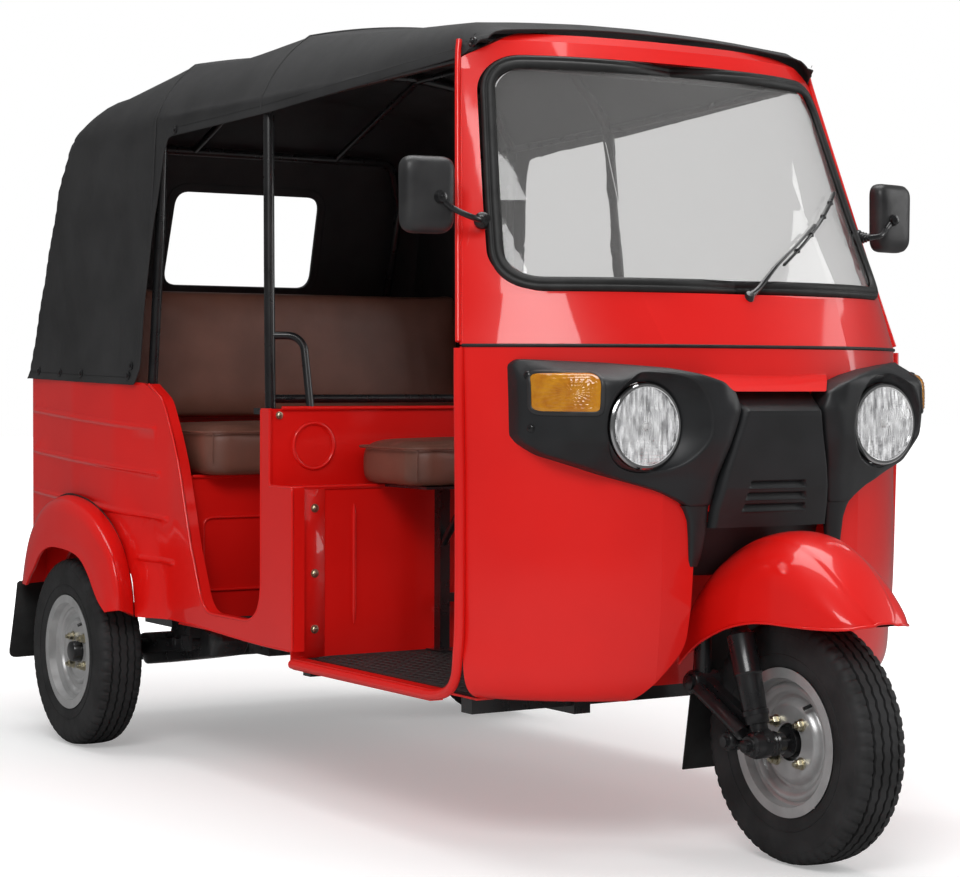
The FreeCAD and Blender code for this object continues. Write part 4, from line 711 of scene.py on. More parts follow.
# height and half width of each louvre
LOUVRE_ROWS = ((738, 70), (715, 74), (692, 78))
LOUVRE_HEIGHT = 13.0
LOUVRE_DEPTH = 9.0
PANEL_TOP = 921
PANEL_FOOT = 654
PANEL_STEP = 1.9
PANEL_COLUMNS = 96


def louvre_depth(x, z):
    """How far the panel is pressed in, in mm: deep under the top lip, rising to the bottom one."""
    for middle, half in LOUVRE_ROWS:
        lean = half + (middle - z) * 0.3
        within = lean - abs(x)
        down = (middle - z) / LOUVRE_HEIGHT + 0.5
        if within > -2.5 and -0.2 < down < 1.25:
            side = eased((within + 1.5) / 4.0)
            if down < 0:
                return side * LOUVRE_DEPTH * eased(1 + down / 0.2) * 0.35
            if down <= 1:
                return side * LOUVRE_DEPTH * (1 - down) ** 0.8
            return -side * 1.6 * math.sin(math.pi * (down - 1) / 0.25)
    return 0.0


def make_mask_panel():
    """Centre panel between the pods, with three pressed louvres."""
    steps = int((PANEL_TOP - PANEL_FOOT) / PANEL_STEP) + 1
    heights = [PANEL_FOOT + PANEL_STEP * step for step in range(steps)] + [PANEL_TOP]
    rows = []
    for z in heights:
        half = lookup(PANEL_EDGE, z)
        row = []
        for column in range(PANEL_COLUMNS + 1):
            x = half * (column / PANEL_COLUMNS * 2 - 1)
            edge = half - abs(x)
            face = lookup(PANEL_FACE, z) + 9 * (1 - min(edge / 11.0, 1.0)) ** 2 + 0.00016 * x * x
            row.append(metres(x, face + louvre_depth(x, z), z))
        left = metres(-half, cowl_y(half, z) + 3, z)
        right = metres(half, cowl_y(half, z) + 3, z)
        rows.append([left] + row + [right])
    form = Form()
    top = [Vector((p.x, cowl_y(p.x / MM, PANEL_TOP) * MM + 0.003, p.z)) for p in rows[-1]]
    foot = [Vector((p.x, p.y + 0.02, p.z)) for p in rows[0]]
    form.rows([foot] + rows + [top])
    make_piece("mask_panel", form, "charcoal_plastic", "body", ("mask_centre_panel",), sharp=42.0)


def make_mask_screws():
    """Screws at the outer edge of the mask."""
    form = Form()
    for x, z in ((487, 953), (486, 850)):
        form.screw(metres(x, pod_y(x, z), z), pod_normal(x, z), 0.0062, 0.0045)
    form.mirror()
    make_piece("mask_screws", form, "black_steel", "body")


INDICATOR_OUTLINE = ((404, 957), (487, 957), (487, 881), (408, 881))
INDICATOR_BENDS = (10, 14, 14, 10)
BEZEL_SECTION = (
    # across, out of the pod's face, in metres
    (-0.0062, -0.001), (-0.0058, 0.0018), (-0.002, 0.0034), (0.0002, 0.0034), (0.0022, 0.0030), (0.0036, 0.0010),
    (0.0036, -0.002),
)


def make_indicators():
    """Amber lenses with fine ribs inside a dark bezel."""
    loop = rounded_loop(INDICATOR_OUTLINE, INDICATOR_BENDS, 3.0)
    middle = sum(loop, Vector()) / len(loop)
    lens = Form()
    rows = []
    for ring in range(24):
        part = 1 - ring / 23
        shrink = part ** 0.9
        row = []
        for point in loop:
            x, z = middle.x + (point.x - middle.x) * shrink, middle.y + (point.y - middle.y) * shrink
            if ring == 0:
                proud = -1.0
            else:
                facet = math.sin(math.atan2(z - middle.y, x - middle.x) * 22) * min(1.0, part * 3) * (ring > 3)
                proud = 4.6 * min(1.0, (1 - part) * 6.0) ** 0.5 + 1.2 * (1 - part) + 0.45 * facet
                proud += 0.5 * math.sin(ring * 1.6) * (ring > 3)
            row.append(metres(x, pod_y(x, z), z) + pod_normal(x, z) * (proud * MM))
        rows.append(row)
    lens.rows(rows, closed_across=True)
    lens.mirror()
    make_piece("indicator_lenses", lens, "amber_lens", "body", ("indicators",), sharp=60.0)
    bezel = Form()
    path = [metres(point.x, pod_y(point.x, point.y), point.y) for point in loop]
    normals = [pod_normal(point.x, point.y) for point in loop]
    bezel.rows(band_on(path, normals, BEZEL_SECTION), closed_along=True)
    bezel.mirror()
    make_piece("indicator_bezels", bezel, "black_plastic", "body", sharp=50.0)


LENS_RADIUS = 76.0
LENS_DOME = 13.0
LENS_RINGS = 35
LENS_RAYS = 144
LENS_THICK = 3.2
# turned profiles of the lamp as (behind the lamp's front plane, radius), in metres
REFLECTOR_BOWL = ((0.0045, 0.0765), (0.010, 0.0755), (0.018, 0.071), (0.028, 0.062), (0.038, 0.050),
                  (0.047, 0.034), (0.052, 0.018), (0.053, 0.010))
BULB_SHIELD = ((0.004, 0.0002), (0.0045, 0.009), (0.008, 0.0125), (0.022, 0.0135), (0.022, 0.0115),
               (0.009, 0.0105))
BULB_BODY = ((-0.001, 0.0002), (0.000, 0.004), (0.003, 0.0085), (0.009, 0.0100), (0.020, 0.0100),
             (0.030, 0.0085), (0.046, 0.0085), (0.050, 0.014), (0.056, 0.014))
FACET_RINGS = ((0.066, 0.0135), (0.056, 0.0235), (0.044, 0.0335), (0.031, 0.0425))
FACETS = 14


def lens_flute(x, z):
    """Depth in mm of the prisms pressed in the lens: ribs in the middle, a weave above and below."""
    if z > 30:
        return 0.55 * math.sin(z * 1.25) + 0.35 * math.sin(x * 0.6)
    if z < -26:
        return 0.5 * math.sin(x * 0.55) + 0.5 * math.sin(z * 0.9)
    return 0.9 * abs(math.sin(x * 0.52))


def add_lens(lens, centre):
    """Domed and fluted front glass of one lamp."""
    rows = []
    for ring in range(LENS_RINGS + 1):
        radius = LENS_RADIUS * ring / LENS_RINGS
        dome = LENS_DOME * (1 - (radius / LENS_RADIUS) ** 2)
        fade = eased((LENS_RADIUS - 2.0 - radius) / 6.0) * eased(radius / 6.0)
        row = []
        for ray in range(LENS_RAYS):
            turn = 2 * math.pi * ray / LENS_RAYS
            x = radius * math.cos(turn)
            z = radius * math.sin(turn)
            row.append(centre + metres(x, -dome - lens_flute(x, z) * fade - 1.0, z))
        rows.append(row)
    back = [[point + metres(0, LENS_THICK, 0) for point in row] for row in rows]
    lens.rows(rows + list(reversed(back)), closed_across=True)


def add_reflector(reflector, centre):
    """Bowl of one lamp, with the seams and bosses between its facets."""
    reflector.lathe(centre, (0, 1, 0), REFLECTOR_BOWL, 28)
    for segment in range(FACETS):
        turn = 2 * math.pi * segment / FACETS
        seam = []
        for part in range(8):
            radius = blended(0.022, 0.074, part / 7)
            depth = 0.051 - 0.047 * (radius / 0.075) ** 2
            seam.append(centre + Vector((math.cos(turn) * radius, depth, math.sin(turn) * radius)))
        reflector.pipe(seam, 0.0012, 6)
    for row, (radius, depth) in enumerate(FACET_RINGS):
        for segment in range(FACETS):
            turn = 2 * math.pi * (segment + 0.5 * (row % 2)) / FACETS
            spot = centre + Vector((math.cos(turn) * radius, depth, math.sin(turn) * radius))
            reflector.lathe(spot, (-math.cos(turn), -0.7, -math.sin(turn)), [
                (0.0, radius * 0.155), (0.0016, radius * 0.115), (0.0022, radius * 0.05), (0.0024, 0.0001)], 8)


def make_lamps():
    """Lens, reflector, bulb and its shield for both headlamps."""
    lens, reflector, bulb, shield = Form(), Form(), Form(), Form()
    for side in (1, -1):
        centre = metres(side * LAMP_PLACE[0], LAMP_PLACE[1], LAMP_PLACE[2])
        add_lens(lens, centre)
        add_reflector(reflector, centre)
        shield.lathe(centre, (0, 1, 0), BULB_SHIELD, 28)
        bulb.lathe(centre, (0, 1, 0), BULB_BODY, 28)
    make_piece("lamp_glass", lens, "clear_glass", "body", ("headlamp_lenses",), material=LENS, sharp=70.0)
    # the reflectors take the finish with painted facet shade and painted reflection
    make_piece("lamp_reflectors", reflector, "lamp_chrome", "body", material=FACET_SHADED_REFLECTOR, sharp=20.0)
    make_piece("lamp_shields", shield, "black_plastic", "body", sharp=60.0)
    make_piece("lamp_bulbs", bulb, "lamp_chrome", "body", material=BULB, sharp=60.0)


# ---------------------------------------------------------------- windscreen

GLASS_CORNERS = ((407, 1574), (478, 1145), (-478, 1145), (-407, 1574))
GLASS_BENDS = (62, 49.6, 49.6, 62)
SEAL_WIDTH = 29.0


def screen_loop(grow, spacing):
    """Screen outline in front view, moved out by grow."""
    corners = [(x + math.copysign(grow, x), z + (grow if z > 1300 else -grow)) for x, z in GLASS_CORNERS]
    return rounded_loop(corners, [bend + grow for bend in GLASS_BENDS], spacing)


SEAL_SECTION = (
    # across from the middle of the seal, out of the cowl's face, in mm
    (-15.5, -2), (-15.2, 1.5), (-13.5, 4.2), (-10.5, 6.4), (-6.5, 7.6), (-2.6, 7.4), (0.2, 5.6), (1.6, 4.4),
    (2.8, 4.6), (4.6, 6.6), (7.4, 7.2), (10.4, 6.0), (13.0, 3.0), (14.6, -1.0), (15.4, -7.0), (15.4, -12.0),
)


# section of the strip in the cowl's seam: out of the face, height, in mm
SEAM_SECTION = ((-3, 1006.5), (1.6, 1006.8), (3.0, 1008.2), (3.3, 1010), (3.0, 1011.8), (1.6, 1013.2),
                (-3, 1013.5))


def make_seals():
    """Thick rubber seal round the windscreen, and the strip in the seam of the cowl."""
    loop = screen_loop(SEAL_WIDTH / 2, 6.0)
    path = [cowl_point(point.x, point.y) for point in loop]
    normals = [cowl_normal(point.x, point.y) for point in loop]
    inward = metres(0, 0, 1360)
    along = path[1] - path[-1]
    flip = -1 if along.cross(normals[0]).dot(inward - path[0]) < 0 else 1
    form = Form()
    section = [(flip * across * MM, out * MM) for across, out in SEAL_SECTION]
    form.rows(band_on(path, normals, section), closed_along=True)
    strip_rows = []
    for step in range(161):
        x = blended(-561, 561, step / 160)
        strip_rows.append([cowl_point(x, z, out) for out, z in SEAM_SECTION])
    form.rows(strip_rows)
    make_piece("screen_seal", form, "black_rubber", "body", ("cowl_seals",), sharp=60.0)


# ends of the wiper blade, x and z in mm
BLADE_LOW = (124, 1178)
BLADE_HIGH = (372, 1346)


def make_wiper():
    """Wiper spindle, sprung arm and blade."""
    form = Form()
    pivot = cowl_point(8, 1094, 2)
    normal = cowl_normal(8, 1094)
    form.lathe(pivot, normal, [(-0.004, 0.017), (0.003, 0.017), (0.006, 0.013), (0.012, 0.0115), (0.026, 0.0105),
                               (0.031, 0.008), (0.032, 0.0005)], 28)
    arm = smooth_path([pivot + normal * 0.024, cowl_point(40, 1120, 28), cowl_point(92, 1168, 26),
                       cowl_point(160, 1215, 22), cowl_point(236, 1262, 16)], 8)
    radii = [blended(0.0075, 0.0034, min(1.0, index / len(arm) * 1.5)) for index in range(len(arm))]
    form.pipe(arm, radii, 10)
    back = []
    edge = []
    for step in range(25):
        x, z = (blended(low, high, step / 24) for low, high in zip(BLADE_LOW, BLADE_HIGH))
        bow = 1 - (step / 12 - 1) ** 2
        back.append(cowl_point(x, z, 9 + 6 * bow))
        edge.append(cowl_point(x, z, 2.5))
    form.pipe(back, 0.0030, 8)
    rows = []
    for top, low in zip(back, edge):
        rows.append([top + Vector((0.0022, 0, -0.0030)), low + Vector((0.0008, 0, -0.0010)),
                     low + Vector((-0.0008, 0, 0.0010)), top + Vector((-0.0022, 0, 0.0030))])
    form.rows(rows, closed_across=True, cap=True)
    for part in (4, 9, 15, 20):
        form.block(back[part] - Vector((0.006, 0.003, 0.005)), back[part] + Vector((0.006, 0.006, 0.005)), 0.0015)
    make_piece("wiper_assembly", form, "black_steel", "body", ("wiper",), sharp=45.0)


# ---------------------------------------------------------------- canopy

HEM_Z = 942.0
CANOPY_RINGS = (
    # y, side half width, side top z, shoulder x, shoulder z, crown z, hem half width, in mm
    (-650, 438, 1602, 374, 1656, 1674, 460), (-590, 460, 1606, 408, 1676, 1694, 482),
    (-200, 484, 1596, 388, 1710, 1744, 502), (197, 500, 1590, 374, 1744, 1788, 520),
    (480, 518, 1588, 402, 1722, 1766, 542), (700, 536, 1584, 428, 1728, 1774, 571),
    (1010, 556, 1572, 470, 1672, 1716, 595), (1430, 566, 1566, 480, 1650, 1690, 595),
)
ROOF_EDGE = (
    # lower edge of the sheet from the front eave to the tail: y, z
    (-650, 1632), (-602, 1598), (164, 1556), (636, 1538), (656, 1494), (700, 1230), (722, 968), (748, 926),
    (1414, 942),
)
ROOF_EDGE_BENDS = (0, 30, 0, 20, 30, 0, 30, 20, 0)
TAIL_TOP = (1248, 1488)
TAIL_FOOT = (1414, 942)
TAIL_EDGE = ((700, 1900), (1000, 1740), (1190, 1585), TAIL_TOP, TAIL_FOOT)
TAIL_BENDS = (0, 80, 60, 60, 0)
# points of a row up one side of the sheet, and over the roof
SIDE_COLUMNS = 34
TOP_COLUMNS = 72
# y of the rows at the front hem, then how far apart the others lie: up to this y, step
FRONT_HEM_ROWS = (-650, -648, -630, -627.5, -623)
ROW_STEPS = ((-560, 12), (622, 15), (760, 2.6), (1000, 13), (1190, 9), (1412, 3.8))
CLOTH_THICK = 3.0
# how far from the tail's edge its rounding starts
TAIL_CREASE = 26.0
WINDOW_CORNERS = ((225, 1462), (232, 1203), (-232, 1203), (-225, 1462))
WINDOW_BEND = 42.0
WINDOW_HEM_SECTION = (
    # away from the window's edge, out of the cloth, in mm
    (-1.5, 3.2), (3, 3.8), (12, 3.6), (20, 3.4), (23, 2.4), (23, -5.0), (20, -6.2), (12, -6.6), (3, -6.8),
    (-1.5, -6.0), (-2.6, -1.5),
)


def both_halves(half):
    """Row of points that ends on the centre plane, carried on to the other side."""
    return half + [Vector((-point.x, point.y, point.z)) for point in reversed(half[:-1])]


def run_length(points):
    """Length of a polyline."""
    return sum((after - before).length for before, after in zip(points, points[1:]))


def resample(points, places):
    """Points at the given shares of a polyline's length."""
    lengths = [0.0]
    for before, after in zip(points, points[1:]):
        lengths.append(lengths[-1] + (after - before).length)
    result = []
    index = 0
    for place in places:
        target = lengths[-1] * place
        while index < len(lengths) - 2 and lengths[index + 1] < target:
            index += 1
        span = max(lengths[index + 1] - lengths[index], 1e-9)
        result.append(points[index].lerp(points[index + 1], min(max((target - lengths[index]) / span, 0), 1)))
    return result


def even(count):
    """Evenly spread shares from 0 to 1."""
    return [step / (count - 1) for step in range(count)]


def arc_through(a, b, c, count):
    """Points on the circle from a through b to c, all in a plane."""
    x, y, radius = circle_of(a, b, c)
    start, middle, finish = ((point.xy - Vector((x, y))).angle_signed(Vector((1, 0))) for point in (a, b, c))
    while middle - start > math.pi:
        middle -= 2 * math.pi
    while start - middle > math.pi:
        middle += 2 * math.pi
    while finish - middle > math.pi:
        finish -= 2 * math.pi
    while middle - finish > math.pi:
        finish += 2 * math.pi
    turns = [start + (finish - start) * part for part in even(count)]
    return [Vector((x + radius * math.cos(turn), y + radius * math.sin(turn), 0)) for turn in turns]


def table_of(corners, bends, spacing):
    """Table for lookup along an open line whose corners are rounded."""
    return [tuple(point.xy) for point in rounded_loop(corners, bends, spacing, closed=False)]


EDGE_LINE = table_of(ROOF_EDGE, ROOF_EDGE_BENDS, 2.0)
TAIL_LINE = table_of(TAIL_EDGE, TAIL_BENDS, 4.0)


def roof_section(y):
    """Half section of the roof and side in mm from the hem up to the crown, without the tail's cut."""
    width, side_z, shoulder_x, shoulder_z, crown, hem_width = [lookup(CANOPY_RINGS, y, column)
                                                              for column in range(1, 7)]
    flare = (hem_width - width) / (side_z - HEM_Z)
    edge = lookup(EDGE_LINE, y)
    side = Vector((width, side_z, 0))
    shoulder = Vector((shoulder_x, shoulder_z, 0))
    chord = shoulder - side
    bulge = (side + shoulder) / 2 - Vector((-chord.y, chord.x, 0)).normalized() * 14
    upper = arc_through(side, bulge, shoulder, 14)
    top = arc_through(shoulder, Vector((0, crown, 0)), Vector((-shoulder_x, shoulder_z, 0)), 61)[:31]
    below = [Vector((width + flare * (side_z - z), z, 0))
             for z in (blended(edge, side_z, part) for part in even(20))][:-1]
    points = [point for point in below + upper[:-1] + top if point.y >= edge - 0.01]
    return points, shoulder


def roof_row(y):
    """One row of the sheet: from the lower edge up the side, over the roof and down again."""
    points, shoulder = roof_section(y)
    cap = lookup(TAIL_LINE, y) if y > 900 else 9999.0
    kept = [point for point in points if point.y <= cap]
    corner = shoulder
    if len(kept) < len(points):
        if kept:
            after = points[len(kept)]
            before = kept[-1]
            share = (cap - before.y) / max(after.y - before.y, 1e-6)
            crossing = before.lerp(after, share)
        else:
            crossing = Vector((points[0].x, cap, 0))
        if crossing.y < shoulder.y + 1:
            corner = crossing
        near = [point for point in kept if (point - crossing).length > TAIL_CREASE] or [points[0]]
        finish = Vector((crossing.x - TAIL_CREASE, cap, 0))
        bend = [bezier(near[-1], crossing, finish, part) for part in even(9)[1:-1]]
        if corner is crossing:
            corner = bend[len(bend) // 2]
        kept = near + bend + [Vector((finish.x * (1 - part), cap, 0)) for part in even(12)]
    split = min(range(len(kept)), key=lambda index: (kept[index] - corner).length)
    split = max(split, 1)
    side_line = kept[:split + 1]
    top_line = kept[split:]
    length = max(run_length(side_line), 1e-3)
    marks = [min(mark / length, 0.9 * index / 6) for index, mark in enumerate((0.0, 2.0, 17.0, 19.5, 24.0))]
    shares = marks[:4] + [blended(marks[4], 1.0, part) for part in even(SIDE_COLUMNS - 4)]
    half = resample(side_line, shares) + resample(top_line, even(TOP_COLUMNS // 2 + 1))[1:]
    return [Vector((point.x, y, point.y)) for point in half]


def edge_distance(y, z):
    """Distance in mm from the lower edge of the sheet, seen from the side."""
    best = 1e9
    for index in range(0, len(EDGE_LINE) - 1, 2):
        a, b = EDGE_LINE[index], EDGE_LINE[min(index + 2, len(EDGE_LINE) - 1)]
        dy, dz = b[0] - a[0], b[1] - a[1]
        square = dy * dy + dz * dz
        if square < 1e-9:
            continue
        part = min(max(((y - a[0]) * dy + (z - a[1]) * dz) / square, 0), 1)
        best = min(best, math.hypot(y - a[0] - part * dy, z - a[1] - part * dz))
        if best < 0.5:
            break
    return best


def ridge(distance, width, height):
    """Smooth raised strip across a seam."""
    part = abs(distance) / width
    return height * (1 - eased((part - 0.6) / 0.4)) if part < 1 else 0.0


BOWS = (-650, 197, 700, 1060)


def cloth_height(x, y, z):
    """How far the cloth stands off its plain form, in mm: sag, folds, hems and seams."""
    height = 0.0
    roof = eased((z - 1560) / 90) if y < 1050 else eased((z - 1600) / 60)
    for before, after in zip(BOWS, BOWS[1:]):
        if before < y < after:
            height -= roof * 5.0 * math.sin(math.pi * (y - before) / (after - before)) * eased((500 - abs(x)) / 200)
    height += 1.3 * mathutils.noise.fractal(Vector((x * 0.004, y * 0.0035, z * 0.005)), 1.0, 2.0, 3)
    if y > 640 and z < 1600:
        drape = eased((1600 - z) / 250)
        height += drape * 1.8 * math.sin((y * 0.6 + z * 0.22) * 0.028 + 1.4) * eased((z - 930) / 120)
        height += drape * 1.0 * math.sin((y - z * 0.5) * 0.05) * eased((z - 930) / 200)
    side_hem = edge_distance(y, z) if z < 1700 else 99.0
    if side_hem < 30:
        height += 1.5 * (1 - eased((side_hem - 17.5) / 3.0))
    if y < -630:
        height += 1.5 * (1 - eased((y + 672 - 20) / 3.0))
    for seam in (197, 700):
        height += ridge(y - seam, 16, 1.1) * roof
    if y < 1180:
        height += ridge(z - 1590, 9, 1.0)
    return height


def canopy_places():
    """The y of every row of the sheet, closer together where it bends."""
    places = list(FRONT_HEM_ROWS)
    y = -610.0
    while y < 1412:
        places.append(y)
        y += next(step for limit, step in ROW_STEPS if y < limit)
    return places + [1413.6]


def eased_tail(rows, places):
    """Rows softened where the roof turns down into the tail."""
    count = len(rows[0])
    for _ in range(3):
        fresh = [list(row) for row in rows]
        for index in range(1, len(rows) - 1):
            if 940 < places[index] < 1240:
                for column in range(SIDE_COLUMNS, count - SIDE_COLUMNS):
                    middle = (rows[index - 1][column] + rows[index + 1][column]) / 2
                    fresh[index][column] = rows[index][column].lerp(middle, 0.6)
        rows = fresh
    return rows


def make_canopy():
    """One continuous sheet over the bows and down both sides and the tail.

    Gives the piece, its flat sizes across and along in metres, and its area in square metres.
    """
    places = canopy_places()
    rows = eased_tail([both_halves(roof_row(y)) for y in places], places)
    row_normals = sheet_normals(rows)
    outer = []
    for row, normals in zip(rows, row_normals):
        outer.append([point + normal * cloth_height(*point) for point, normal in zip(row, normals)])
    skin = Form()
    skin.rows([[point * MM for point in row] for row in outer])
    inner = [(point - normal * CLOTH_THICK) * MM
             for row, normals in zip(outer, row_normals) for point, normal in zip(row, normals)]
    window = rounded_loop(WINDOW_CORNERS, WINDOW_BEND, 4.0)
    keep = []
    for face in skin.faces:
        middle = sum((skin.points[corner] for corner in face), Vector()) / len(face) / MM
        if middle.y <= 1100 or not inside(window, middle.x, middle.z):
            keep.append(face)
    area = sum(face_area(skin.points, face) for face in keep)
    snap_edge(skin.points, inner, keep, window, len(rows), len(rows[0]))
    skin.add(inner, [])
    skin.faces = with_back(keep, len(inner))
    item = make_piece("canopy_sheet", skin, "grey_canvas", "body", ("canopy",), sharp=0)
    across = max(run_length(row) for row in rows) * MM
    along = run_length([row[len(row) // 2] for row in rows]) * MM
    return item, across, along, area


def with_back(faces, count):
    """Faces of a thin shell: the front, its back count points further on, and the rim between."""
    back = [tuple(count + corner for corner in reversed(face)) for face in faces]
    rim = [(a, b, count + b, count + a) for a, b in open_edges(faces)]
    return faces + back + rim


def sheet_normals(rows):
    """Outward normals of a grid of points."""
    result = []
    for i, row in enumerate(rows):
        line = []
        for j in range(len(row)):
            along = rows[min(i + 1, len(rows) - 1)][j] - rows[max(i - 1, 0)][j]
            across = row[min(j + 1, len(row) - 1)] - row[max(j - 1, 0)]
            normal = across.cross(along)
            if normal.length < 1e-9:
                normal = Vector((0, 0, 1))
            normal.normalize()
            outward = Vector((row[j].x, 0, row[j].z - 1250)) + (Vector((0, 400, 0)) if row[j].y > 1190 else Vector())
            if normal.dot(outward) < 0:
                normal = -normal
            line.append(normal)
        result.append(line)
    return result


def inside(polygon, x, y):
    """Whether a point lies within a polygon."""
    odd = False
    for a, b in zip(polygon, polygon[1:] + polygon[:1]):
        if (a.y > y) != (b.y > y) and x < (b.x - a.x) * (y - a.y) / (b.y - a.y) + a.x:
            odd = not odd
    return odd


def face_area(points, face):
    """Area of a four-sided face."""
    a, b, c, d = (points[corner] for corner in face)
    return (b - a).cross(c - a).length / 2 + (c - a).cross(d - a).length / 2


def open_edges(faces):
    """Edges that only one face uses, in the face's own direction reversed."""
    seen = dict.fromkeys(pair for face in faces for pair in zip(face, face[1:] + face[:1]))
    return [(b, a) for a, b in seen if (b, a) not in seen]


def snap_edge(outer, inner, faces, window, row_count, column_count):
    """Moves the points round the window's hole, on both faces of the cloth, onto its outline."""
    for a, _ in open_edges(faces):
        row, column = divmod(a, column_count)
        if row in (0, row_count - 1) or column in (0, column_count - 1):
            continue
        flat = Vector((outer[a].x / MM, outer[a].z / MM, 0))
        target = min(window, key=lambda spot: (spot - flat).length)
        shift = target - flat
        step = metres(shift.x, shift.y * (TAIL_TOP[0] - TAIL_FOOT[0]) / (TAIL_TOP[1] - TAIL_FOOT[1]), shift.y)
        outer[a] += step
        inner[a] += step


def tail_point(x, z, out=0.0):
    """Point on the sloping back of the canopy."""
    run = TAIL_FOOT[0] - TAIL_TOP[0]
    drop = TAIL_TOP[1] - TAIL_FOOT[1]
    y = TAIL_TOP[0] + (TAIL_TOP[1] - z) * run / drop
    return (Vector((x, y, z)) + Vector((0, drop, run)).normalized() * out) * MM


def make_window_hem():
    """Doubled band sewn round the rear window, inside and out."""
    form = Form()
    window = rounded_loop(WINDOW_CORNERS, WINDOW_BEND, 8.0)
    path = [tail_point(point.x, point.y) for point in window]
    normal = (tail_point(0, 1300, 10) - tail_point(0, 1300, 0)).normalized()
    middle = sum(path, Vector()) / len(path)
    flip = 1 if (path[1] - path[-1]).cross(normal).dot(path[0] - middle) > 0 else -1
    section = [(flip * across * MM, out * MM) for across, out in WINDOW_HEM_SECTION]
    rows = band_on(path, [normal] * len(path), section)
    form.rows(rows, closed_across=True, closed_along=True)
    make_piece("rear_window_hem", form, "grey_canvas", "body", sharp=50.0)


# ---------------------------------------------------------------- fenders and mudguard

# lines of a wheel cover from its front to its rear, in mm: at the body, at its ridge, at its lip
FENDER_BODY = (
    (592, 709, 352), (592, 715, 406), (592, 733, 454), (592, 776, 522), (592, 851, 578), (594, 953, 619),
    (595, 1059, 635), (590, 1154, 631), (590, 1226, 606), (590, 1268, 548), (590, 1290, 480), (590, 1300, 396),
)
FENDER_RIDGE = (
    (655, 668, 373), (658, 664, 418), (661, 674, 469), (664, 699, 512), (667, 760, 558), (668, 840, 596),
    (669, 964, 621), (668, 1072, 616), (667, 1157, 588), (666, 1224, 534), (665, 1262, 470), (664, 1287, 394),
)
FENDER_OPENING = (
    (672, 704, 366), (674, 738, 388), (675, 767, 416), (675, 805, 455), (675, 856, 489), (675, 921, 504),
    (675, 1007, 509), (675, 1068, 505), (675, 1124, 485), (675, 1173, 442), (675, 1200, 420), (675, 1226, 394),
)
# section of the rolled lip: across, and out from the axle
FENDER_LIP = ((1.6, -2.0), (-1.5, -3.4), (-5.0, -2.4), (-9, 1.0), (-9, 6))
AXLE_SPOT = (975, 240)


def make_fenders():
    """Rounded rear wheel covers with a rolled lip, and the welt against the body."""
    form = Form()
    rows = []
    welt_path = []
    sideways = Vector((1, 0, 0))
    for base, crest, lip in zip(*(smooth_path(line, 8) for line in (FENDER_BODY, FENDER_RIDGE, FENDER_OPENING))):
        outward = Vector((0, crest.y - AXLE_SPOT[0], crest.z - AXLE_SPOT[1])).normalized()
        control = (base + crest) / 2 + outward * 13
        top = [bezier(base, control, crest, part) for part in even(12)]
        near_ridge = crest.lerp(lip, 0.30)
        rounded = [bezier(top[-4], crest, near_ridge, part) for part in even(9)]
        face = [near_ridge.lerp(lip, part) + sideways * 2.2 * math.sin(math.pi * part) for part in even(8)[1:-1]]
        roll = [lip + sideways * across + outward * out for across, out in FENDER_LIP]
        back = [crest - outward * 6 - sideways * 8, base - outward * 5]
        rows.append([point * MM for point in top[:-4] + rounded + face + roll + back])
        welt_path.append((base + outward * 2.0 + sideways * 5.5) * MM)
    form.rows(rows, closed_across=True, cap=True)
    form.mirror()
    make_piece("fender_shells", form, "red_paint", "body", ("rear_fenders",), sharp=48.0)
    welt = Form()
    welt.pipe(welt_path, 0.0030, 10)
    welt.mirror()
    make_piece("fender_welts", welt, "black_rubber", "body", sharp=60.0)


MUDGUARD_RINGS = (
    # y, half width, skirt z, flank z, crown z
    (-1380, 42, 486, 487, 490), (-1377, 58, 484, 486, 494), (-1367, 73, 481, 486, 508), (-1346, 89, 479, 490, 532),
    (-1310, 102, 478, 502, 570), (-1270, 112, 478, 517, 603), (-1225, 119, 479, 530, 630), (-1180, 123, 480, 540, 646),
    (-1130, 125, 476, 542, 652), (-1060, 126, 460, 528, 638), (-985, 126, 428, 496, 602),
    (-940, 124, 400, 462, 558), (-905, 122, 372, 420, 500),
)


# shares of the half width: of the flank at its top, and of the raised band
FLANK_SHARE = 0.965
BAND_SHARE = 56 / 123
BAND_HEIGHT = 3.4


def eased_rings(rings, count, passes):
    """Rings spread evenly along their run, and softened with both ends held."""
    run = [0.0]
    for a, b in zip(rings, rings[1:]):
        run.append(run[-1] + math.dist(a, b))
    table = [(place, *ring) for place, ring in zip(run, rings)]
    values = [[lookup(table, share * run[-1], column) for column in range(1, len(table[0]))]
              for share in even(count)]
    for _ in range(passes):
        values = [values[0]] + [[(a + 2 * b + c) / 4 for a, b, c in zip(*trio)]
                                for trio in zip(values, values[1:], values[2:])] + [values[-1]]
    return values


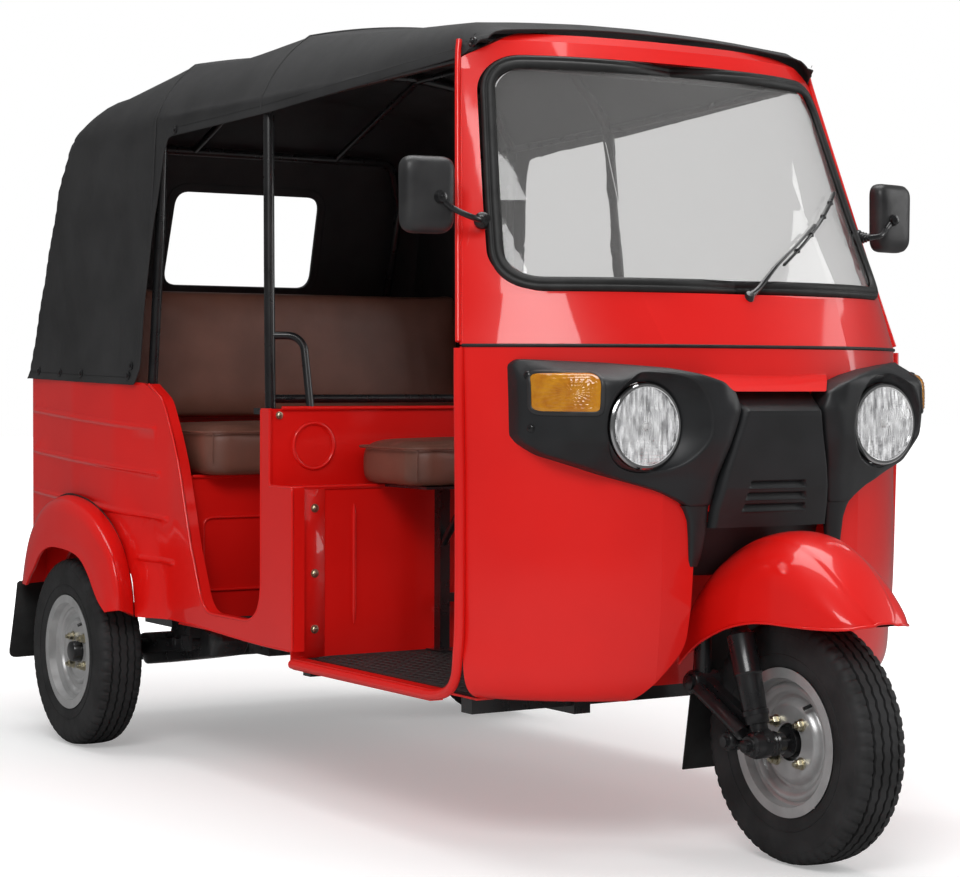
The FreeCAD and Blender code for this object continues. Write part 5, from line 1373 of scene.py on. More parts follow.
def make_mudguard():
    """Front mudguard with a raised middle band and a rolled lip all round."""
    outer = []
    inner = []
    for y, width, skirt, flank, crown in eased_rings(MUDGUARD_RINGS, 130, 34):
        top_x = width * FLANK_SHARE
        half = [Vector((blended(width, top_x, part), y, blended(skirt, flank, part))) for part in even(7)]
        for part in even(40)[1:]:
            turn = part * math.pi / 2
            x = top_x * math.cos(turn) ** 0.86 if part < 1 else 0.0
            z = blended(flank, crown, math.sin(turn) ** 0.98)
            outside_band = eased((x - BAND_SHARE * width) / 7.0)
            half.append(Vector((x, y, z - BAND_HEIGHT * outside_band)))
        row = both_halves(half)
        outer.append(row)
        centre = Vector((0, y, skirt))
        inner.append([point - (point - centre).normalized() * 3.0 for point in row])
    form = Form()
    form.rows([[point * MM for point in over + under[::-1]] for over, under in zip(outer, inner)],
              closed_across=True, cap=True)
    edge = [row[0] for row in reversed(outer)] + outer[0][1:-1] + [row[-1] for row in outer]
    for _ in range(4):
        edge = [edge[0]] + [(a + b * 2 + c) / 4 for a, b, c in zip(edge, edge[1:], edge[2:])] + [edge[-1]]
    form.pipe([point * MM for point in resample(edge, even(150))], 0.0030, 10)
    make_piece("mudguard_shell", form, "red_paint", "steering", ("front_mudguard",), sharp=48.0)


# ---------------------------------------------------------------- cushions

PAD_BOTTOM = 706
BENCH_LOW, BENCH_HIGH = (-496, 488, PAD_BOTTOM), (496, 918, 818)
DRIVER_LOW, DRIVER_HIGH = (-345, -234, PAD_BOTTOM), (345, 62, 794)
BACK_HALF = 515
BACK_PROFILE = ((930, 831), (952, 1183), (1014, 1183), (1038, 1100), (1038, 831))
PAD_FRAMES = 20
PAD_PRESSURE = 4
# how far in metres a point may move as a cushion is blown up
PAD_MOVE = 0.010


def soft_box(low, high, edge, corner):
    """Closed box in mm with rounded edges and a fine grid, to be blown up."""
    mesh = bpy.data.meshes.new("pad")
    work = bmesh.new()
    bmesh.ops.create_cube(work, size=1.0)
    centre = (Vector(low) + Vector(high)) / 2
    size_of = Vector(high) - Vector(low)
    for vert in work.verts:
        vert.co = Vector((vert.co.x * size_of.x, vert.co.y * size_of.y, vert.co.z * size_of.z)) + centre
    upright = [e for e in work.edges if abs(e.verts[0].co.z - e.verts[1].co.z) > 1]
    bmesh.ops.bevel(work, geom=upright, offset=corner, segments=7, profile=0.5, affect="EDGES")
    rim = [e for e in work.edges if abs(e.verts[0].co.z - e.verts[1].co.z) < 1 and len(e.link_faces) == 2
           and abs(e.link_faces[0].normal.z - e.link_faces[1].normal.z) > 0.5]
    bmesh.ops.bevel(work, geom=rim, offset=edge, segments=4, profile=0.6, affect="EDGES")
    for vert in work.verts:
        vert.co *= MM
    work.to_mesh(mesh)
    work.free()
    return mesh


def puffed(name, mesh, node, voxel, shape):
    """Cushion: remeshed, blown up as cloth for a few frames, held near its start, then shaped."""
    item = bpy.data.objects.new(name, mesh)
    bpy.context.scene.collection.objects.link(item)
    remesh = item.modifiers.new("even", "REMESH")
    remesh.mode = "VOXEL"
    remesh.voxel_size = voxel
    apply_modifier(item)
    start = [vert.co.copy() for vert in item.data.vertices]
    scene = bpy.context.scene
    cloth = item.modifiers.new("blow", "CLOTH")
    settings = cloth.settings
    settings.use_pressure = True
    settings.uniform_pressure_force = PAD_PRESSURE
    settings.effector_weights.gravity = 0
    settings.quality = 6
    settings.tension_stiffness = 12
    settings.compression_stiffness = 12
    settings.shear_stiffness = 6
    settings.bending_stiffness = 0.4
    cloth.point_cache.frame_start = 1
    cloth.point_cache.frame_end = PAD_FRAMES
    for frame_number in range(1, PAD_FRAMES + 1):
        scene.frame_set(frame_number)
    graph = bpy.context.evaluated_depsgraph_get()
    moved = [vert.co.copy() for vert in item.evaluated_get(graph).to_mesh().vertices]
    item.modifiers.clear()
    scene.frame_set(1)
    for vert, old, new in zip(item.data.vertices, start, moved):
        step = new - old
        if step.length > PAD_MOVE:
            step *= PAD_MOVE / step.length
        vert.co = old + step
    soften(item.data, 6)
    for vert in item.data.vertices:
        vert.co = shape(vert.co)
    smooth = item.modifiers.new("smooth", "SUBSURF")
    smooth.levels = 1
    smooth.render_levels = 1
    apply_modifier(item)
    for face in item.data.polygons:
        face.use_smooth = True
    item.data.materials.clear()
    item.data.materials.append(LEATHER)
    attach(item, "body")
    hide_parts(node)


def soften(mesh, passes):
    """Takes small wrinkles out of a mesh."""
    work = bmesh.new()
    work.from_mesh(mesh)
    for _ in range(passes):
        bmesh.ops.smooth_vert(work, verts=work.verts[:], factor=0.5, use_axis_x=True, use_axis_y=True,
                              use_axis_z=True)
    work.to_mesh(mesh)
    work.free()


def apply_modifier(item):
    """Makes the modifiers' result the object's own mesh."""
    graph = bpy.context.evaluated_depsgraph_get()
    mesh = bpy.data.meshes.new_from_object(item.evaluated_get(graph))
    item.modifiers.clear()
    item.data = mesh


def crowned(low, high, rise, flat_below):
    """Shape that lifts the middle of a pad and keeps its underside flat."""
    def shape(point):
        x = (point.x / MM - low[0]) / (high[0] - low[0]) * 2 - 1
        y = (point.y / MM - low[1]) / (high[1] - low[1]) * 2 - 1
        z = point.z / MM
        lift = eased((z - flat_below) / (high[2] - flat_below))
        dome = max(0.0, 1 - x * x * abs(x)) * max(0.0, 1 - y * y)
        return Vector((point.x, point.y, max(z, low[2]) * MM + lift * dome * rise * MM))
    return shape


def make_cushions():
    """Bench cushion, driver's cushion and the bench's backrest."""
    puffed("bench_cushion_pad", soft_box(BENCH_LOW, BENCH_HIGH, 26, 62), "bench_cushion", 0.010,
           crowned(BENCH_LOW, BENCH_HIGH, 8, 730))
    puffed("driver_cushion_pad", soft_box(DRIVER_LOW, DRIVER_HIGH, 24, 68), "driver_cushion", 0.009,
           crowned(DRIVER_LOW, DRIVER_HIGH, 7, 730))
    mesh = bpy.data.meshes.new("back_pad")
    work = bmesh.new()
    loop = [work.verts.new((-BACK_HALF, y, z)) for y, z in BACK_PROFILE]
    face = work.faces.new(loop)
    swept = bmesh.ops.extrude_face_region(work, geom=[face])
    bmesh.ops.translate(work, vec=(2 * BACK_HALF, 0, 0), verts=[v for v in swept["geom"] if hasattr(v, "co")])
    bmesh.ops.recalc_face_normals(work, faces=work.faces[:])
    bmesh.ops.bevel(work, geom=work.edges[:], offset=20, segments=4, profile=0.6, affect="EDGES")
    for vert in work.verts:
        vert.co *= MM
    work.to_mesh(mesh)
    work.free()
    puffed("bench_backrest_pad", mesh, "bench_backrest", 0.011, back_shape)


def back_shape(point):
    """Front face that bellies out between its edges."""
    x, y, z = point.x / MM, point.y / MM, point.z / MM
    front = eased((1000 - y) / 60.0)
    side = 1 - (abs(x) / (BACK_HALF + 8)) ** 4
    belly = 8.0 * math.sin(math.pi * min(1.0, max(0.0, (z - 831) / 352)))
    return Vector((point.x, point.y - front * max(0.0, side) * belly * MM, point.z))


# ---------------------------------------------------------------- body skins and beads

BODY_SIDE = table_of(((-60, 540), (600, 540), (860, 578), (1100, 590), (1420, 582)), (0, 300, 300, 300, 0), 10.0)
SIDE_OUTLINE = (
    (-35, 333), (-35, 700), (75, 700), (75, 876), (115, 876), (115, 383), (418, 383), (492, 540), (560, 735),
    (640, 892), (720, 932), (1396, 947), (1396, 395), (1222, 395), (1105, 508), (765, 505), (722, 440), (710, 380),
    (708, 350), (640, 350),
)
SIDE_BENDS = (0, 0, 0, 0, 0, 95, 80, 120, 200, 60, 60, 0, 0, 90, 150, 120, 60, 20, 0, 0)
SKIN_OUT = 3.6
FLARE_REACH = 110.0
# height, front end and rear end of each pressed rib, then how far it falls towards the front
SIDE_RIBS = ((838, 665, 1388), (728, 645, 1388), (618, 608, 1388), (494, 579, 708))
RIB_FALL = 38.0
# edges of the doorway, and of the post before it, y and z in mm
DOOR_EDGE = ((115, 872), (115, 383), (418, 383), (492, 540), (560, 735), (640, 892), (700, 928))
DOOR_BENDS = (0, 95, 80, 120, 200, 60, 0)
DOOR_MIDDLE = (280, 700)
POST_EDGE = ((-35, 336), (-35, 700), (75, 700), (75, 872))


def body_side_x(y):
    """Half width in mm of the body's side, which swells towards the rear."""
    return lookup(BODY_SIDE, y)


def skin_flare(y, z):
    """How far in mm the skin swells out to meet the foot of the wheel cover."""
    near = min(math.hypot(y - a, z - b) for _, a, b in FLARE_LINE)
    gap = max(0.0, 591.5 - SKIN_OUT - body_side_x(y))
    return gap * (1 - eased(near / FLARE_REACH))


FLARE_LINE = smooth_path(FENDER_BODY, 6)


def rib_height(y, z):
    """Pressed ribs of the body's side, in mm; they fall a little towards the front."""
    height = 0.0
    for base, front, rear in SIDE_RIBS:
        middle = base + RIB_FALL * (y - (front + rear) / 2) / 700.0
        across = 1 - eased((abs(z - middle) - 3.5) / 4.5)
        ends = eased((y - front + 4) / 14.0) * eased((rear - y + 4) / 14.0)
        height = max(height, 6.0 * across * ends)
    return height


def flat_panel(outline, bends, cuts_a, cuts_b, place, thick):
    """Sheet cut to an outline, scored along both directions and laid on a surface by place(a, b, out)."""
    loop = rounded_loop(outline, bends, 9.0)
    work = bmesh.new()
    verts = [work.verts.new(point) for point in loop]
    work.faces.new(verts)
    bmesh.ops.triangulate(work, faces=work.faces[:])
    for axis, cuts in ((Vector((1, 0, 0)), cuts_a), (Vector((0, 1, 0)), cuts_b)):
        for cut in cuts:
            bmesh.ops.bisect_plane(work, geom=work.verts[:] + work.edges[:] + work.faces[:], plane_co=axis * cut,
                                   plane_no=axis, dist=0.01)
    work.verts.ensure_lookup_table()
    work.verts.index_update()
    flat = [(vert.co.x, vert.co.y) for vert in work.verts]
    faces = [tuple(vert.index for vert in face.verts) for face in work.faces]
    work.free()
    form = Form()
    form.points = [place(a, b, out) for out in (0.0, -thick) for a, b in flat]
    form.faces = with_back(faces, len(flat))
    return form


def spaced(low, high, step):
    """Places between low and high, without the ends, about a step apart."""
    count = max(1, int((high - low) / step))
    return [blended(low, high, index / count) for index in range(1, count)]


def make_side_skins():
    """Outer skins of the body sides with their pressed ribs, and the rolled edges of the doorway."""
    cuts_y = spaced(-30, 500, 60) + spaced(500, 1396, 28)
    cuts_z = spaced(360, 930, 45)
    for middle, front, _ in SIDE_RIBS:
        cuts_z += spaced(middle - 28, middle + 28, 3.0)
        cuts_y += [front + step for step in (-4, -1, 2, 5, 8, 10)]

    def place(y, z, out):
        rib = rib_height(y, z) if out == 0 else 0
        return metres(body_side_x(y) + SKIN_OUT + out + skin_flare(y, z) + rib, y, z)

    form = flat_panel(SIDE_OUTLINE, SIDE_BENDS, cuts_y, cuts_z, place, 3.4)
    form.mirror()
    make_piece("side_skins", form, "red_paint", "body", sharp=60.0)
    beads = Form()
    for corners, bends in ((DOOR_EDGE, DOOR_BENDS), (POST_EDGE, 0)):
        path = rounded_loop(corners, bends, 8.0, closed=False)
        beads.pipe([metres(body_side_x(point.x) + 1.6, point.x, point.y) for point in path], 0.0034, 10)
    beads.pipe([metres(body_side_x(y) + 1.8, y, 334.5 + 17 * eased((y - 40) / 600)) for y in spaced(-40, 705, 20)],
               0.0030, 8)
    # the doorway's edge turned in towards the cabin, 2.5 mm thick
    rows = []
    for point in rounded_loop(DOOR_EDGE, DOOR_BENDS, 8.0, closed=False):
        x = body_side_x(point.x) + 2.0
        row = [metres(x - depth, point.x, point.y) for depth in (0, 6, 14, 22, 30)]
        away = Vector((0, point.x - DOOR_MIDDLE[0], point.y - DOOR_MIDDLE[1])).normalized()
        rows.append(row + [spot + away * 0.0025 for spot in reversed(row)])
    beads.rows(rows, closed_across=True, cap=True)
    beads.mirror()
    make_piece("doorway_beads", beads, "red_paint", "body", sharp=55.0)


SILL_PATH = ((540, -33, 306), (540, -300, 306), (540, -560, 306), (541, -640, 308), (543, -700, 322),
             (548, -738, 352), (556, -760, 400), (559, -771, 480), (562, -776, 700), (566, -778, 900),
             (566, -777, 1005))
PILLAR_PATH = ((567, -776, 1018), (550, -748, 1112), (517, -693, 1300), (470, -615, 1574), (459, -602, 1634))


def make_sills():
    """Rolled door sill that turns up into the cowl's rear edge."""
    form = Form()
    form.pipe([point * MM for point in smooth_path(SILL_PATH, 8)], 0.0105, 14)
    form.pipe([point * MM for point in smooth_path(PILLAR_PATH, 8)], 0.0062, 12)
    form.mirror()
    make_piece("doorway_sills", form, "red_paint", "body", sharp=60.0)


# the sills end ahead of this y and outside this x, in metres
SILL_CUT_Y = -0.63
SILL_INNER_X = 0.5095


def make_floor():
    """Floor pans as the solids have them, with the sills' blunt front ends left off."""
    source = NODES["floor_pans"]
    work = bmesh.new()
    work.from_mesh(source.data)
    work.transform(source.matrix_world)
    bmesh.ops.remove_doubles(work, verts=work.verts, dist=1e-5)
    bmesh.ops.bisect_plane(work, geom=work.verts[:] + work.edges[:] + work.faces[:], plane_co=(0, SILL_CUT_Y, 0),
                           plane_no=(0, 1, 0), dist=1e-5)
    gone = []
    for face in work.faces:
        middle = face.calc_center_median()
        if abs(middle.x) > SILL_INNER_X and middle.y < SILL_CUT_Y:
            gone.append(face)
    bmesh.ops.delete(work, geom=gone, context="FACES")
    cut_edges = [edge for edge in work.edges if len(edge.link_faces) == 1]
    bmesh.ops.holes_fill(work, edges=cut_edges, sides=0)
    form = Form()
    work.verts.index_update()
    form.points = [vert.co.copy() for vert in work.verts]
    form.faces = [tuple(vert.index for vert in face.verts) for face in work.faces]
    work.free()
    make_piece("floor_sheets", form, "red_paint", "body", ("floor_pans",), sharp=35.0)


# the dark sheet of painted shade stops at this share of the way down, clear of the fork as it turns
SHADE_SHEET_SHARE = 0.45


def make_arch_shade_sheet():
    """Dark sheet behind the mudguard, between the arms of the mask: painted shade inside the wheel arch."""
    form = Form()
    rows = []
    for step in range(22):
        part = SHADE_SHEET_SHARE * step / 21
        y = blended(-1024, -880, (eased(part) + part) / 2)
        z = blended(664, 420, part)
        half = blended(160, 182, min(1.0, part * 2.2))
        shares = [column / 12 - 1 for column in range(25)]
        rows.append([metres(half * share, y + 26 * share ** 2, z) for share in shares])
    form.rows(rows)
    count = len(form.points)
    form.add([point + metres(0, 4, -1) for point in form.points], [])
    form.faces = with_back(form.faces, count)
    # charcoal sheet: painted shade of the wheel arch's interior
    make_piece("arch_shade_sheet", form, "charcoal_plastic", "body", sharp=50.0)


# ---------------------------------------------------------------- cabin details


def make_partition_details():
    """Pressed ring, swage beads, corner flange with its bolts, and the seat base pressings."""
    red = Form()
    ring = [metres(425, 80.5, 790) + spoke * 0.052 for spoke in spokes(Vector((1, 0, 0)), -DOWN, 64)]
    red.pipe(ring, 0.0042, 10, closed=True)
    path = [metres(375, -20.5, z) for z in spaced(375, 672, 12)]
    last = len(path) - 1
    red.pipe(path, [0.0048 * min(1.0, 0.35 + min(index, last - index) * 0.35) for index in range(len(path))], 10)
    red.block(metres(452, -23.2, 316), metres(538, -19, 699), 0.0012)
    red.block(metres(300, -24, 694), metres(538, -16, 703), 0.002)
    loop = rounded_loop(((90, 600), (470, 600), (470, 420), (90, 420)), 26, 10.0)
    red.pipe([metres(point.x, 568.6, point.y) for point in loop], 0.0036, 8, closed=True)
    red.mirror()
    for half, y, z, radius in ((538, 78.5, 876.5, 0.0046), (538, -21.0, 700.5, 0.0042), (530, 568.5, 702, 0.0046)):
        red.pipe([metres(x, y, z) for x in spaced(-half, half, 30)], radius, 12)
    make_piece("partition_swages", red, "red_paint", "body", sharp=60.0)
    bolts = Form()
    for z in (380, 506, 653):
        bolts.bolt(metres(478, -23, z), (0, -1, 0), 0.0058, 0.005)
    bolts.bolt(metres(514, 80, 860), (0, -1, 0), 0.0052, 0.0045)
    bolts.mirror()
    make_piece("partition_bolts", bolts, "black_steel", "body", material=ZINC, sharp=30.0)


MAT_PITCH = 26.0
# section of a mat's raised edge: inset, height, in mm
MAT_EDGE = ((0, -4), (0, 1.5), (1.5, 2.6), (6.5, 2.6), (8, 0.6))


def mat_form(low_x, high_x, low_y, high_y, top, bend):
    """Rubber mat with a raised edge and a chequer of small lozenges."""
    form = Form()
    loop = rounded_loop(((low_x, low_y), (high_x, low_y), (high_x, high_y), (low_x, high_y)), bend, 14.0)
    middle = sum(loop, Vector()) / len(loop)
    rows = []
    for inset, z in MAT_EDGE:
        row = []
        for point in loop:
            away = Vector((point.x - middle.x, point.y - middle.y, 0)).normalized()
            row.append(metres(point.x - away.x * inset, point.y - away.y * inset, top + z))
        rows.append(row)
    form.rows(rows, closed_across=True)
    form.faces.append(tuple(range(len(form.points) - len(loop), len(form.points))))
    y = low_y + 22
    line = 0
    while y < high_y - 18:
        lean = 1 if line % 2 else -1
        along = Vector((9.5, 5.5 * lean, 0))
        across = Vector((-1.6 * lean, 2.8, 0))
        x = low_x + 22 + (line % 2) * MAT_PITCH / 2
        while x < high_x - 18:
            centre = Vector((x, y, top + 0.5))
            base = [centre - along, centre - across, centre + along, centre + across]
            tip = [centre + (corner - centre) * 0.55 + Vector((0, 0, 1.5)) for corner in base]
            form.add([point * MM for point in base + tip],
                     [(0, 1, 5, 4), (1, 2, 6, 5), (2, 3, 7, 6), (3, 0, 4, 7), (4, 5, 6, 7)])
            x += MAT_PITCH
        y += MAT_PITCH / 2
        line += 1
    return form


def make_mats():
    """Floor mats of the driver's and the passengers' side."""
    front = mat_form(-503, 503, -748, -27, 316, 70)
    make_piece("front_mat_chequer", front, "mat_rubber", "body", sharp=30.0)
    rear = mat_form(-514, 514, 12, 564, 349.4, 40)
    make_piece("rear_mat_chequer", rear, "mat_rubber", "body", sharp=30.0)


# ---------------------------------------------------------------- mirrors

MIRROR_PLACE = Vector((605, -722, 1306))
MIRROR_TURN = 9.0
# share of the outline, and y in mm
MIRROR_SHELL = ((0.0, -20.6), (0.35, -20.4), (0.62, -19.4), (0.8, -17.2), (0.91, -13.0), (0.975, -6.0), (1.0, 4),
                (1.0, 13), (0.985, 17.5), (0.955, 19.0), (0.93, 18.5), (0.925, 15.0))
MIRROR_GLASS = ((0.93, 14.0), (0.92, 16.2), (0.90, 16.6), (0.5, 16.9), (0.02, 17.0))
MIRROR_ARM = ((489, -748, 1258), (512, -763, 1259), (536, -766, 1264), (566, -750, 1280), (590, -742, 1300))


def make_mirrors():
    """Rounded shells with their glass, and ribbed boots at the joints."""
    shell = Form()
    glass = Form()
    arm = Form()
    turn = Matrix.Rotation(math.radians(MIRROR_TURN), 3, "Z")

    def put(x, y, z):
        return (MIRROR_PLACE + turn @ Vector((x, y, z))) * MM

    outline = rounded_loop(((-56, 76), (56, 76), (54, -76), (-54, -76)), (27, 27, 30, 30), 5.0)
    for form, profile in ((shell, MIRROR_SHELL), (glass, MIRROR_GLASS)):
        form.rows([[put(point.x * share, y, point.y * share) for point in outline] for share, y in profile],
                  closed_across=True)
    arm.pipe([point * MM for point in smooth_path(MIRROR_ARM, 8)], 0.0062, 12)
    start = Vector((490, -742, 1258)) * MM
    axis = Vector((0.62, -0.78, 0.02))
    arm.lathe(start, axis, [(-0.012, 0.0175), (0.004, 0.0175), (0.007, 0.0155), (0.009, 0.0125), (0.013, 0.0130),
                            (0.015, 0.0105), (0.019, 0.0110), (0.021, 0.0085), (0.026, 0.0088), (0.028, 0.0065)], 26)
    arm.lathe(Vector((590, -743, 1300)) * MM, (0.0, -1, 0.05), [
        (-0.012, 0.013), (0.004, 0.013), (0.008, 0.0105), (0.011, 0.0105), (0.013, 0.006)], 24)
    arm.screw(Vector((590, -756, 1300)) * MM, (0, -1, 0), 0.0042, 0.003)
    for form in (shell, glass, arm):
        form.mirror()
    make_piece("mirror_shells", shell, "black_plastic", "body", ("mirrors",), sharp=60.0)
    make_piece("mirror_glasses", glass, "lamp_chrome", "body", material=CHROME, sharp=30.0)
    make_piece("mirror_arms", arm, "black_steel", "body", sharp=40.0)


# ---------------------------------------------------------------- canopy trim


STUD_PROFILE = ((-0.002, 0.0105), (0.0012, 0.0105), (0.002, 0.0092), (0.0022, 0.0070), (0.0014, 0.0062),
                (0.0014, 0.0050), (0.0042, 0.0046), (0.0052, 0.0028), (0.0054, 0.0002))


def canopy_side(y, z, out):
    """Point in metres on the canopy's flank at a height in mm, standing off it by so many mm."""
    width, side_z, hem_width = (lookup(CANOPY_RINGS, y, column) for column in (1, 2, 6))
    flare = (hem_width - width) / (side_z - HEM_Z)
    return metres(width + flare * (side_z - z) + out, y, z)


def make_canopy_trim():
    """Press studs and stitches along the hem, and piped seams over the bows."""
    studs = Form()
    for y, z in ((1330, 962), (1038, 955), (778, 950), (765, 975), (600, 1553), (1180, 957)):
        studs.lathe(canopy_side(y, z, 2.0), (1, 0, 0.1), STUD_PROFILE, 24)
    studs.lathe(canopy_side(-628, 1628, -3.0), (0.9, -0.2, 0.4), STUD_PROFILE, 24)
    studs.mirror()
    make_piece("canopy_studs", studs, "black_steel", "body", sharp=40.0)
    seams = Form()
    for bow in (197, 700):
        points, _ = roof_section(bow)
        path = [metres(point.x + (0.8 if point.x > 400 else 0), bow, point.y + 1.0) for point in points[2:]]
        seams.pipe(both_halves(path), 0.0026, 8)
    make_piece("canopy_seams", seams, "grey_canvas", "body", sharp=60.0)
    stitch = Form()
    for y in range(-640, 1390, 9):
        if not 600 < y < 770:
            a, b = (canopy_side(spot, lookup(EDGE_LINE, spot) + 19, 1.7) for spot in (y, y + 5.5))
            stitch.pipe([a, (a + b) / 2 + metres(0.3, 0, 0), b], 0.0006, 5)
    stitch.mirror()
    make_piece("canopy_stitches", stitch, "grey_canvas", "body", material=THREAD, sharp=0)


# ---------------------------------------------------------------- wheels' details


# sections of the wheel plates: along the axle, radius, in mm
FRONT_DISH = ((22, 119), (31, 117), (37, 112), (38, 106), (33, 99), (25, 95), (21, 90), (23, 85), (31, 80),
              (37, 74), (38, 66), (38, 37))
REAR_DISH = ((20, 119), (27, 116), (30, 110), (28, 104), (20, 99), (16, 94), (18, 88), (24, 82), (25, 76),
             (21, 70), (21, 62), (21, 32))


HUB_CAP = ((0.004, 0.034), (0.012, 0.034), (0.016, 0.031), (0.017, 0.027), (0.040, 0.026), (0.043, 0.024),
           (0.045, 0.017), (0.0452, 0.0002))
# angle of the valve round the hub, in radians
VALVE_TURN = 2.2
WHEELS = {
    # body, hub, outer side, radius of the nuts' circle, how far out they sit, section of the plate
    "front": ("front_wheel", (0, -1150, 240), -1, 53, 38, FRONT_DISH),
    "rear_right": ("rear_right_wheel", (-608, 975, 240), -1, 50, 21, REAR_DISH),
    "rear_left": ("rear_left_wheel", (608, 975, 240), 1, 50, 21, REAR_DISH),
}


def make_wheel_details():
    """Dished wheel plates, their nuts, dust caps and valves."""
    for name, (body, hub, side, reach, seat, dish) in WHEELS.items():
        centre = metres(*hub)
        plate = Form()
        outline = smooth_path([Vector((along, 0, radius)) for along, radius in dish], 4)
        back = [point - Vector((2.4, 0, 0)) for point in reversed(outline)]
        plate.lathe(centre, (side, 0, 0), [(p.x * MM, p.z * MM) for p in outline + back + outline[:1]], 72)
        make_piece(name + "_dish", plate, "silver_rim", body, sharp=50.0)
        nuts = Form()
        for index in range(4):
            turn = math.radians(45 + 90 * index)
            spot = centre + metres(side * seat, reach * math.cos(turn), reach * math.sin(turn))
            nuts.lathe(spot, (side, 0, 0), [(0, 0.0125), (0.002, 0.0125), (0.0035, 0.0108)], 24)
            nuts.lathe(spot, (side, 0, 0), [(0.002, 0.0100), (0.0125, 0.0100), (0.0142, 0.0082)], 6)
            nuts.lathe(spot, (side, 0, 0), [(0.012, 0.0052), (0.0205, 0.0052), (0.0215, 0.0040)], 16)
        make_piece(name + "_nuts", nuts, "silver_rim", body, material=ZINC, sharp=30.0)
        dark = Form()
        dark.pipe([centre + metres(side * along, radius * math.cos(VALVE_TURN), radius * math.sin(VALVE_TURN))
                   for along, radius in ((30, 96), (46, 88))], 0.0038, 12)
        if name != "front":
            dark.lathe(centre, (side, 0, 0), HUB_CAP, 32)
        make_piece(name + "_caps", dark, "black_steel", body, sharp=40.0)


def make_fork_details():
    """Damper shroud, collar, lower body, gaiter rings and link bolts of the front suspension."""
    form = Form()
    low = metres(-100, -1136, 258)
    axis = metres(-100, -1050, 526) - low
    span = axis.length
    form.lathe(low, axis, [(0.02, 0.0235), (0.035, 0.0245), (0.037, 0.0262), (0.046, 0.0262), (0.048, 0.0240),
                           (span * 0.41, 0.0258), (span * 0.415, 0.0272), (span * 0.425, 0.0285),
                           (span * 0.435, 0.0272), (span * 0.70, 0.0282), (span * 0.712, 0.0225),
                           (span * 0.74, 0.0165), (span * 0.86, 0.0165)], 36)
    make_piece("damper_shroud", form, "black_steel", "steering", sharp=40.0)
    parts = Form()
    axle = metres(-100, -1150, 240)
    parts.lathe(axle + metres(28, 0, 0), (-1, 0, 0), [
        (0.0, 0.021), (0.004, 0.0245), (0.008, 0.0215), (0.012, 0.0245), (0.016, 0.0215), (0.020, 0.0245),
        (0.024, 0.0215), (0.026, 0.0265), (0.052, 0.0265), (0.056, 0.0235), (0.060, 0.0235), (0.064, 0.0185),
        (0.070, 0.0185), (0.0705, 0.0125), (0.080, 0.0120), (0.082, 0.009), (0.082, 0.0002)], 32)
    pivot = metres(-100, -955, 341)
    parts.lathe(pivot, (-1, 0, 0), [(-0.030, 0.024), (0.026, 0.024), (0.030, 0.0215), (0.031, 0.016), (0.038, 0.0155),
                                    (0.040, 0.012), (0.040, 0.0002)], 32)
    path = [metres(-122, -972, 330), metres(-124, -1040, 296), metres(-124, -1112, 258)]
    parts.pipe(smooth_path(path, 6), 0.0145, 16)
    parts.lathe(metres(-124, -1082, 240), (-1, 0, 0), [
        (-0.010, 0.019), (0.012, 0.019), (0.016, 0.0165), (0.017, 0.0105), (0.024, 0.0102), (0.0245, 0.0002)], 26)
    make_piece("link_parts", parts, "black_steel", "steering", sharp=40.0)


# seam down a cushion's front corner: how far out, how far down, in mm
CORNER_SEAM = ((2, 0), (5.5, 14), (7.4, 34), (7.4, 58), (5.5, 74))


def make_cushion_trim():
    """Piping and sewn seams of the cushions."""
    form = Form()
    for half, front, rear, top, bend in ((490, 493, 913, 812, 58), (339, -228, 56, 789, 62)):
        loop = rounded_loop(((-half, front), (half, front), (half, rear), (-half, rear)), bend, 10.0)
        form.pipe([metres(point.x, point.y, top) for point in loop], 0.0030, 8, closed=True)
        for side in (-1, 1):
            seam = [metres(side * (half + out - 23), front - out + 23, top - down) for out, down in CORNER_SEAM]
            form.pipe(smooth_path(seam, 4), 0.0016, 6)
    make_piece("cushion_piping", form, "brown_leather", "body", sharp=60.0)


# ---------------------------------------------------------------- underbody and flaps

ARM_OUTLINE = ((440, 300), (470, 268), (610, 246), (884, 206), (930, 240), (920, 284), (760, 302), (640, 322),
               (560, 334), (450, 330))
BRACKET_OUTLINE = ((610, 345), (690, 345), (682, 262), (622, 262))
FLAP_TOP = 398
FLAP_MIDDLE = 292
FLAP_OUTLINE = ((-60, FLAP_TOP), (60, FLAP_TOP), (62, 190), (-56, 192))
FLAP_BENDS = (6, 6, 22, 18)
FLAP_PLACE = (610, 1296)


def make_swing_arms():
    """Trailing arms of the rear wheels with their pivot brackets and bolts."""
    arms = Form()
    loop = rounded_loop(ARM_OUTLINE, 26, 12.0)
    bracket = rounded_loop(BRACKET_OUTLINE, (6, 6, 26, 26), 6.0)
    for outline, middle, levels in (
        (loop, sum(loop, Vector()) / len(loop),
         ((400, 0.90), (404, 0.97), (412, 1.0), (478, 1.0), (486, 0.97), (490, 0.90))),
        (bracket, Vector((651, 300, 0)), ((486, 0.95), (488, 1.0), (498, 1.0), (500, 0.95))),
    ):
        arms.rows([[metres(x, *middle.lerp(point, shrink).xy) for point in outline] for x, shrink in levels],
                  closed_across=True, cap=True)
    arms.lathe(metres(498, 651, 288), (1, 0, 0), [(0, 0.020), (0.003, 0.020), (0.004, 0.0125), (0.012, 0.0125),
                                                  (0.014, 0.010), (0.014, 0.0002)], 24)
    arms.mirror()
    make_piece("swing_arms", arms, "black_steel", "body", sharp=40.0)


